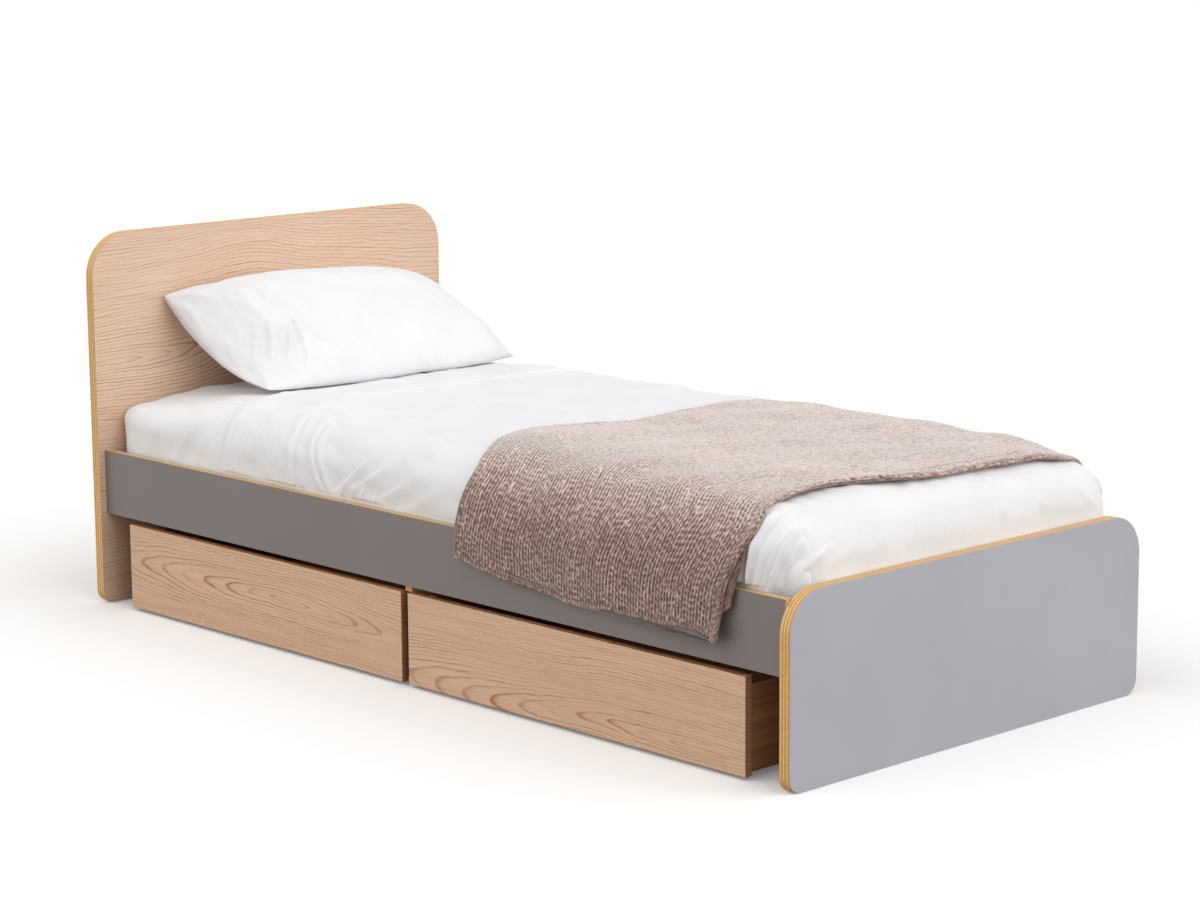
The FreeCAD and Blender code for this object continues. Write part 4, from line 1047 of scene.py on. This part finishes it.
# place across the throw, and how far down the near side its hem lies there
NEAR_HEM = np.array([
    [0.0, -0.605], [0.07, -0.612], [0.13, -0.619], [0.19, -0.626], [0.264, -0.632], [0.356, -0.637],
    [0.448, -0.641], [0.54, -0.640], [0.63, -0.639], [0.71, -0.640], [0.83, -0.639], [0.89, -0.636],
    [0.922, -0.635], [0.940, -0.640], [0.956, -0.649], [0.975, -0.651], [1.0, -0.640]])
FAR_HEM, FAR_HEM_SLANT = 0.640, 0.012
LOWER_SHORT = 0.012             # how much shorter the lower layer is at each hem
LOWER_SHORT_FOOT = 0.046        # and how much more than that where its near hem comes to the foot
LOWER_SHORT_SPAN = (0.75, 1.0)  # across the throw
PEEP, PEEP_SPAN = 0.026, (0.42, 0.55)   # the lower layer's extra width on the near side, and where it sets in
STITCH_DEPTH, STITCH_LEVEL = 0.0050, 0.75   # relief of the stitches, and the yarn height that lies level
HEM_RIPPLE, EDGE_RIPPLE, LYING_RIPPLE = (0.0012, 0.05, 44), (0.0016, 0.09, 45), (0.0024, 0.19, 31)
FLAT_WIDTH, HEM_SLANT = 0.8, 0.3   # what a place across the throw counts in metres in the first two
HANG_SPAN = (0.46, 0.62)        # distance from the middle line over which the near side comes to hang
STRAIGHT_WAVE, SLANT_WAVE = (0.0030, 21.0, 0.16), (0.0025, 11.0, 1.0)   # height, pace and shift
WAVE_RISE = 0.0035              # how far the waves as a whole stand off
CORNER_CURL, CORNER_CURL_SPANS = 0.012, ((0.945, 1.0), (0.585, 0.65))   # across the throw and down
FOOT_CURL, FOOT_CURL_SPAN = 0.004, (0.97, 1.0)
SAG_REACH = (0.91, 0.402)       # x and y past which the throw follows the sagging corner no further
SAG_STOP = (0.48, 0.60)         # and the distance from the middle line where the far hang takes over
# yarn heights: the least, and what chance adds
BEAD, STRAND, COARSE = (0.58, 0.42), (0.36, 0.46), (0.30, 0.60)
# the inner sides and the under layer are kept low, so that the lower layer showing at the foot is coloured
# dark: painted shade
RIM_YARN, INNER_YARN_SHADED = (0.10, 0.70), (0.06, 0.62)
HOLE_CHANCE, HOLE_TOPS, COARSE_HOLE = 0.96, (0.08, 0.34), 0.02   # how often, and how high in a hole
FOOT_BORDER, HEAD_BORDER, HEM_BORDER = (0.965, 0.975), (0.012, 0.022), (0.489, 0.494)
LYING_PAINTED_LIGHT, HANGING_PAINTED_SHADE = 0.15, 0.22   # how much paler it is painted where it lies, as painted light, and darker where it hangs, as painted shade
SHADE_SPAN = (0.39, 0.52)
CURVE_STEPS, PATH_STEPS = 4000, 3000      # points on the path's curve, and on the path read off it
# points along the runs of the section
RIM_STEPS, SHOWN_STEPS, HIDDEN_STEPS, UNDER_STEPS = 6, 12, 6, 13
SHOWN_FROM, HIDDEN_FROM = 0.94, 0.85      # between the layers, what shows at the foot has closer points
LOWER_INSIDE_SHARE, LOWER_SHARE = 0.996, 0.994   # widths of the lower layer's two sides
HEM_BULGE, FOLD_BULGE = 0.005, 0.007      # how far the foot hems and the head fold stand out, by width


def smooth_path(points, count):
    """A cubic B-spline of the given points, read at even steps of its own length."""
    padded = np.concatenate([points[:1] * 2 - points[1:2], points, points[-1:] * 2 - points[-2:-1]])
    t = np.linspace(0, len(padded) - 3 - TINY, CURVE_STEPS)
    i = t.astype(int)
    f = (t - i)[:, None]
    p0, p1, p2, p3 = (padded[i + k] for k in range(4))
    line = ((1 - f) ** 3 * p0 + (3 * f ** 3 - 6 * f ** 2 + 4) * p1
            + (-3 * f ** 3 + 3 * f ** 2 + 3 * f + 1) * p2 + f ** 3 * p3) / 6
    length = run_lengths(line, 0)
    even = np.linspace(0, length[-1], count)
    return np.stack([np.interp(even, length, line[:, k]) for k in range(2)], axis=-1), even


def throw_section():
    """The throw's section along the bed, a closed loop in runs of place across the width, from 0 at the head
    to 1 at the foot, and height in layers above the underside."""
    upper = np.linspace(0, 1, WALES * 3 + 1)
    rim = np.linspace(0, 1, RIM_STEPS)[1:-1]
    shown = np.linspace(1, SHOWN_FROM, SHOWN_STEPS)
    inner = np.concatenate([shown, np.linspace(HIDDEN_FROM, 0, HIDDEN_STEPS)])
    under = np.linspace(1.0, 0, UNDER_STEPS)
    bulge = np.sin(rim * np.pi)
    return {
        "upper": (upper, np.full(len(upper), 2.0)),
        "foot_rim": (1 + HEM_BULGE * bulge, 2.0 - rim),
        "upper_inside": (inner, np.full(len(inner), INNER_UPPER)),
        "lower_inside": (inner[::-1] * LOWER_INSIDE_SHARE, np.full(len(inner), INNER_LOWER)),
        "lower_rim": (LOWER_SHARE + HEM_BULGE * bulge, INNER_LOWER - rim * INNER_LOWER),
        "under": (under * LOWER_SHARE, np.zeros(len(under))),
        "head_fold": (-FOLD_BULGE * bulge, 2.0 * rim),
    }


def throw_ends(section):
    """Triangles that close the throw's two ends: the upper layer closes on its own inner side, the lower
    layer on its own, and the fold between them."""
    sizes = [len(place) for place, _ in section.values()]
    number = dict(zip(section, np.split(np.arange(sum(sizes)), np.cumsum(sizes)[:-1])))
    top, below = number["upper"], number["under"]
    back = np.concatenate([number["foot_rim"], number["upper_inside"]])
    front = np.concatenate([number["lower_inside"], number["lower_rim"]])
    fold = np.concatenate([back[-1:], front[:1], below[-1:], number["head_fold"]])
    one_end = np.concatenate([
        zipped(top, back[::-1], section["upper"][0], np.linspace(0, 1, len(back))),
        zipped(front, below[::-1], np.linspace(0, 1, len(front)), np.linspace(0, 1, len(below))),
        zipped(top[:1], fold, np.zeros(1), np.arange(float(len(fold))))])
    return np.concatenate([one_end, one_end + COURSES * sum(sizes)])


def throw_yarn(section, t):
    """Height of the yarn at each point, from 0 deep between strands to 1 on a crown. On the upper layer, of
    every three columns of points one is a rib's row of beads of uneven height, and the other two are the gap
    beside it, a hole and a crossing strand by turns. Its borders are coarser, and the rims and inner sides have
    plain chance; the inner sides are kept low, as painted shade on the lower layer where it shows at the foot."""
    chance = np.random.default_rng(41)

    def uneven(kind, draw):
        least, more = kind
        return least + more * draw

    upper = section["upper"][0][None, :]
    column, row = np.arange(upper.size)[None, :], np.arange(COURSES + 1)[:, None]
    draw = chance.uniform(0, 1, (COURSES + 1, upper.size))
    turn = chance.integers(0, 2, WALES + 1)[column // 3]
    hole = ((row + turn) % 2 == 0) & (draw < HOLE_CHANCE)
    gap = np.where(hole, np.where(column % 3 == 0, *HOLE_TOPS) * draw, uneven(STRAND, draw))
    yarn = np.where(column % 3 == 1, uneven(BEAD, draw), gap)
    border = np.maximum(ease(upper, *FOOT_BORDER), 1 - ease(upper, *HEAD_BORDER))
    border = np.maximum(border, ease(np.abs(t - 0.5), *HEM_BORDER))
    coarse = np.where((column % 2 == 0) & (row % 2 == 0), COARSE_HOLE, uneven(COARSE, draw))
    yarn = yarn * (1 - border) + coarse * border
    rim = len(section["foot_rim"][0])
    others = sum(len(place) for place, _ in section.values()) - upper.size - rim
    rim_yarn = uneven(RIM_YARN, chance.uniform(0, 1, (COURSES + 1, rim)))
    inside = uneven(INNER_YARN_SHADED, chance.uniform(0, 1, (COURSES + 1, others)))
    return np.concatenate([yarn, rim_yarn, inside], axis=1)


def make_throw(cover):
    """A knitted sheet folded double and carried across the bed. Its section along the bed is a closed loop: the
    upper layer, its foot hem, back between the layers to the fold at the head, and the lower layer out again.
    Each point lies on a path across the bed, lifted by its layer, its stitch, waves in the hanging side and
    soft unevenness on top, and sagging where the bed falls at the foot. The yarn's height is kept as an
    attribute for its colour, together with painted light that makes it paler where the throw lies on top and
    painted shade that makes it darker where it hangs."""
    path, reach = smooth_path(THROW_PATH, PATH_STEPS)
    reach = reach - reach[np.argmin(np.abs(path[:, 0]))]
    section = throw_section()
    u, layer = (np.concatenate(part)[None, :] for part in zip(*section.values()))
    t = np.linspace(0, 1, COURSES + 1)[:, None]
    yarn = throw_yarn(section, t)
    edge = np.clip(u, 0, 1)
    on_top, lower = (layer == 2.0) * 1.0, layer < 1.0

    near_end = smooth_between(edge, NEAR_HEM[:, 0], NEAR_HEM[:, 1])
    near_end = near_end + ripple(edge * FLAT_WIDTH, edge * HEM_SLANT, *HEM_RIPPLE)
    near_end = near_end + np.where(lower, LOWER_SHORT + LOWER_SHORT_FOOT * ease(edge, *LOWER_SHORT_SPAN), 0.0)
    far_end = FAR_HEM + FAR_HEM_SLANT * edge - np.where(lower, LOWER_SHORT, 0.0)
    s = near_end + (far_end - near_end) * t
    y, z = (np.interp(s, reach, path[:, k]) for k in range(2))
    slope_y, slope_z = (np.interp(s, reach, np.gradient(path[:, k], reach)) for k in range(2))
    head, foot = (smooth_between(s, THROW_EDGES[:, 0], THROW_EDGES[:, side]) for side in (1, 2))
    peep = PEEP * lower * ease(-s, *PEEP_SPAN)
    wander = ripple(edge * FLAT_WIDTH, s, *EDGE_RIPPLE) * on_top
    x = head + (foot - head) * u * (1 + peep) + wander

    from_hem = np.minimum(t, 1 - t) * THROW_LENGTH
    closing = np.sqrt(1 - (1 - np.clip(from_hem / HEM_ROUND, 0, 1)) ** 2)
    stitch = on_top * STITCH_DEPTH * (yarn - STITCH_LEVEL)
    hang = ease(-s, *HANG_SPAN)
    height, pace, shift = STRAIGHT_WAVE
    wave = height * np.sin((x - shift) * pace)
    height, pace, shift = SLANT_WAVE
    wave = hang * (wave + height * np.sin((x + s) * pace + shift))
    wave = np.maximum(wave + WAVE_RISE * hang, 0.0)
    soft = (1 - hang) * (ripple(x, s, *LYING_RIPPLE) + LYING_RIPPLE[0])
    curl_across, curl_down = CORNER_CURL_SPANS
    curl = CORNER_CURL * ease(edge, *curl_across) * ease(-s, *curl_down)
    curl = curl + FOOT_CURL * ease(edge, *FOOT_CURL_SPAN) * ease(layer, 1.0, 2.0)
    lift = layer * LAYER * closing + (1 - closing) * LAYER + stitch * closing + wave + soft + curl
    past_foot = np.maximum(x - (HALF_LENGTH - FOOT_ROUND), 0)
    foot_drop = FOOT_ROUND - np.sqrt(np.maximum(FOOT_ROUND ** 2 - past_foot ** 2, 0))
    corner_drop = far_corner(np.minimum(x, SAG_REACH[0]), np.minimum(y, SAG_REACH[1]))
    sag = foot_drop * (1 - hang) + corner_drop * (1 - ease(s, *SAG_STOP))
    points = np.stack([x, y - slope_z * lift, z + slope_y * lift - sag], axis=-1)
    cloth_map = np.stack([np.broadcast_to(u * WALES * WALE, x.shape),
                          np.broadcast_to(t * COURSES * COURSE, x.shape)], axis=-1)
    piece = skin("knitted_throw", points, cloth_map, closed_rows=True, ends=throw_ends(section))
    # painted light and shade: the yarn's colour is made paler where the throw lies on top and darker where it
    # hangs, as light and sheen fall on it
    shade = yarn + LYING_PAINTED_LIGHT - HANGING_PAINTED_SHADE * ease(np.abs(s), *SHADE_SPAN)
    heights = piece.data.attributes.new("yarn_height_with_painted_light", "FLOAT", "POINT")
    heights.data.foreach_set("value", shade.astype(np.float32).ravel())
    weld(piece, KNIT_WELD_GAP)
    piece.data.materials.append(cover)
    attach(piece, "bed_frame")
    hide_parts("throw")


# Finishes on the CAD nodes

def cover_nodes(finish, *names):
    """Gives CAD nodes their finish through their material slots."""
    for name in names:
        nodes[name].data.materials.clear()
        nodes[name].data.materials.append(finish)


def dress_frame():
    """Oak on the headboard's faces, plywood edges, grey laminate, and what lies under the mattress."""
    board = oak("headboard_oak", BOARD_OAK, grain=1, heart=(-0.43, 0.53), slope=0.10, ring=0.0075,
                arch=(-0.06, 0.15, 0.030), seed=2.0)
    cover_nodes(board, "headboard_front_veneer", "headboard_back_veneer")
    panel_edge = plywood_edge("panel_ply_edge", axis=0, start=-1.03, ply=0.0036)
    cover_nodes(panel_edge, "headboard_core", "footboard_core", "centre_support")
    rail_edge = plywood_edge("rail_ply_edge", axis=1, start=-0.47, ply=0.0028)
    cover_nodes(rail_edge, "near_rail_core", "far_rail_core")
    footboard_grey = laminate("footboard_grey", (183, 184, 191), seed=1.0)
    cover_nodes(footboard_grey, "footboard_outer_laminate", "footboard_inner_laminate")
    # painted shade in part: this grey is darker and warmer than the footboard's, in part a darker laminate and
    # in part the shade and warm floor bounce on a side facing away from the key lamp
    rail_grey_and_shade = laminate("rail_grey_and_shade", (128, 120, 116), seed=2.0)
    cover_nodes(rail_grey_and_shade, "near_rail_outer_laminate", "near_rail_inner_laminate",
                "far_rail_outer_laminate", "far_rail_inner_laminate")
    slat_pine = plain_wood("slat_pine", (236, 208, 168), (212, 174, 128), grain=1, seed=1.0)
    cover_nodes(slat_pine, *(name for name in nodes if name.startswith("slat_") and name != "slat_tapes"))
    ledger_pine = plain_wood("ledger_pine", (232, 202, 160), (206, 168, 122), grain=0, seed=4.0)
    cover_nodes(ledger_pine, "near_ledger", "far_ledger")
    cover_nodes(woven_tape("slat_tape"), "slat_tapes")
    cover_nodes(zinc_steel("bracket_zinc"), "corner_brackets")


def dress_drawers():
    """Each drawer has its own figure on the oak front; the boxes and castors of both are finished alike."""
    figures = {"head": dict(heart=(-0.361, 0.107), slope=0.075, arch=(-0.30, 0.20, 0.010), seed=5.0),
               "foot": dict(heart=(0.80, 0.035), slope=0.070, arch=(0.30, 0.25, -0.012), seed=8.0)}
    # the sides and backs carry painted shade: their oak is darker and redder than the fronts'
    sides = plain_wood("drawer_side_shaded_oak", *DRAWER_BOX_SHADED_OAK, grain=1, seed=9.0)
    backs = plain_wood("drawer_back_shaded_oak", *DRAWER_BOX_SHADED_OAK, grain=0, seed=12.0)
    bottoms = plain_wood("drawer_birch_ply", (232, 206, 168), (212, 180, 136), grain=0, seed=6.0)
    plastic = moulded_plastic("castor_plastic", (46, 46, 48), roughness=0.42)
    rubber = moulded_plastic("wheel_rubber", (92, 92, 94), roughness=0.62)
    for end, figure in figures.items():
        drawer = end + "_drawer"
        cover_nodes(oak(drawer + "_oak", DRAWER_OAK, grain=0, ring=0.0056, **figure), drawer + "_front")
        cover_nodes(sides, drawer + "_head_side", drawer + "_foot_side")
        cover_nodes(backs, drawer + "_back")
        cover_nodes(bottoms, drawer + "_bottom")
        cover_nodes(plastic, drawer + "_castor_housings")
        cover_nodes(rubber, *(f"{drawer}_wheel_{n}" for n in range(1, 5)))


place_camera()
studio_light()
studio_floor()
dress_frame()
dress_drawers()
white = cotton("white_cotton", (242, 242, 244))
make_mattress(white)
make_top_sheet(white)
make_pillow(white)
make_throw(knit("throw_knit", (233, 210, 198), (134, 94, 76), (58, 22, 11)))
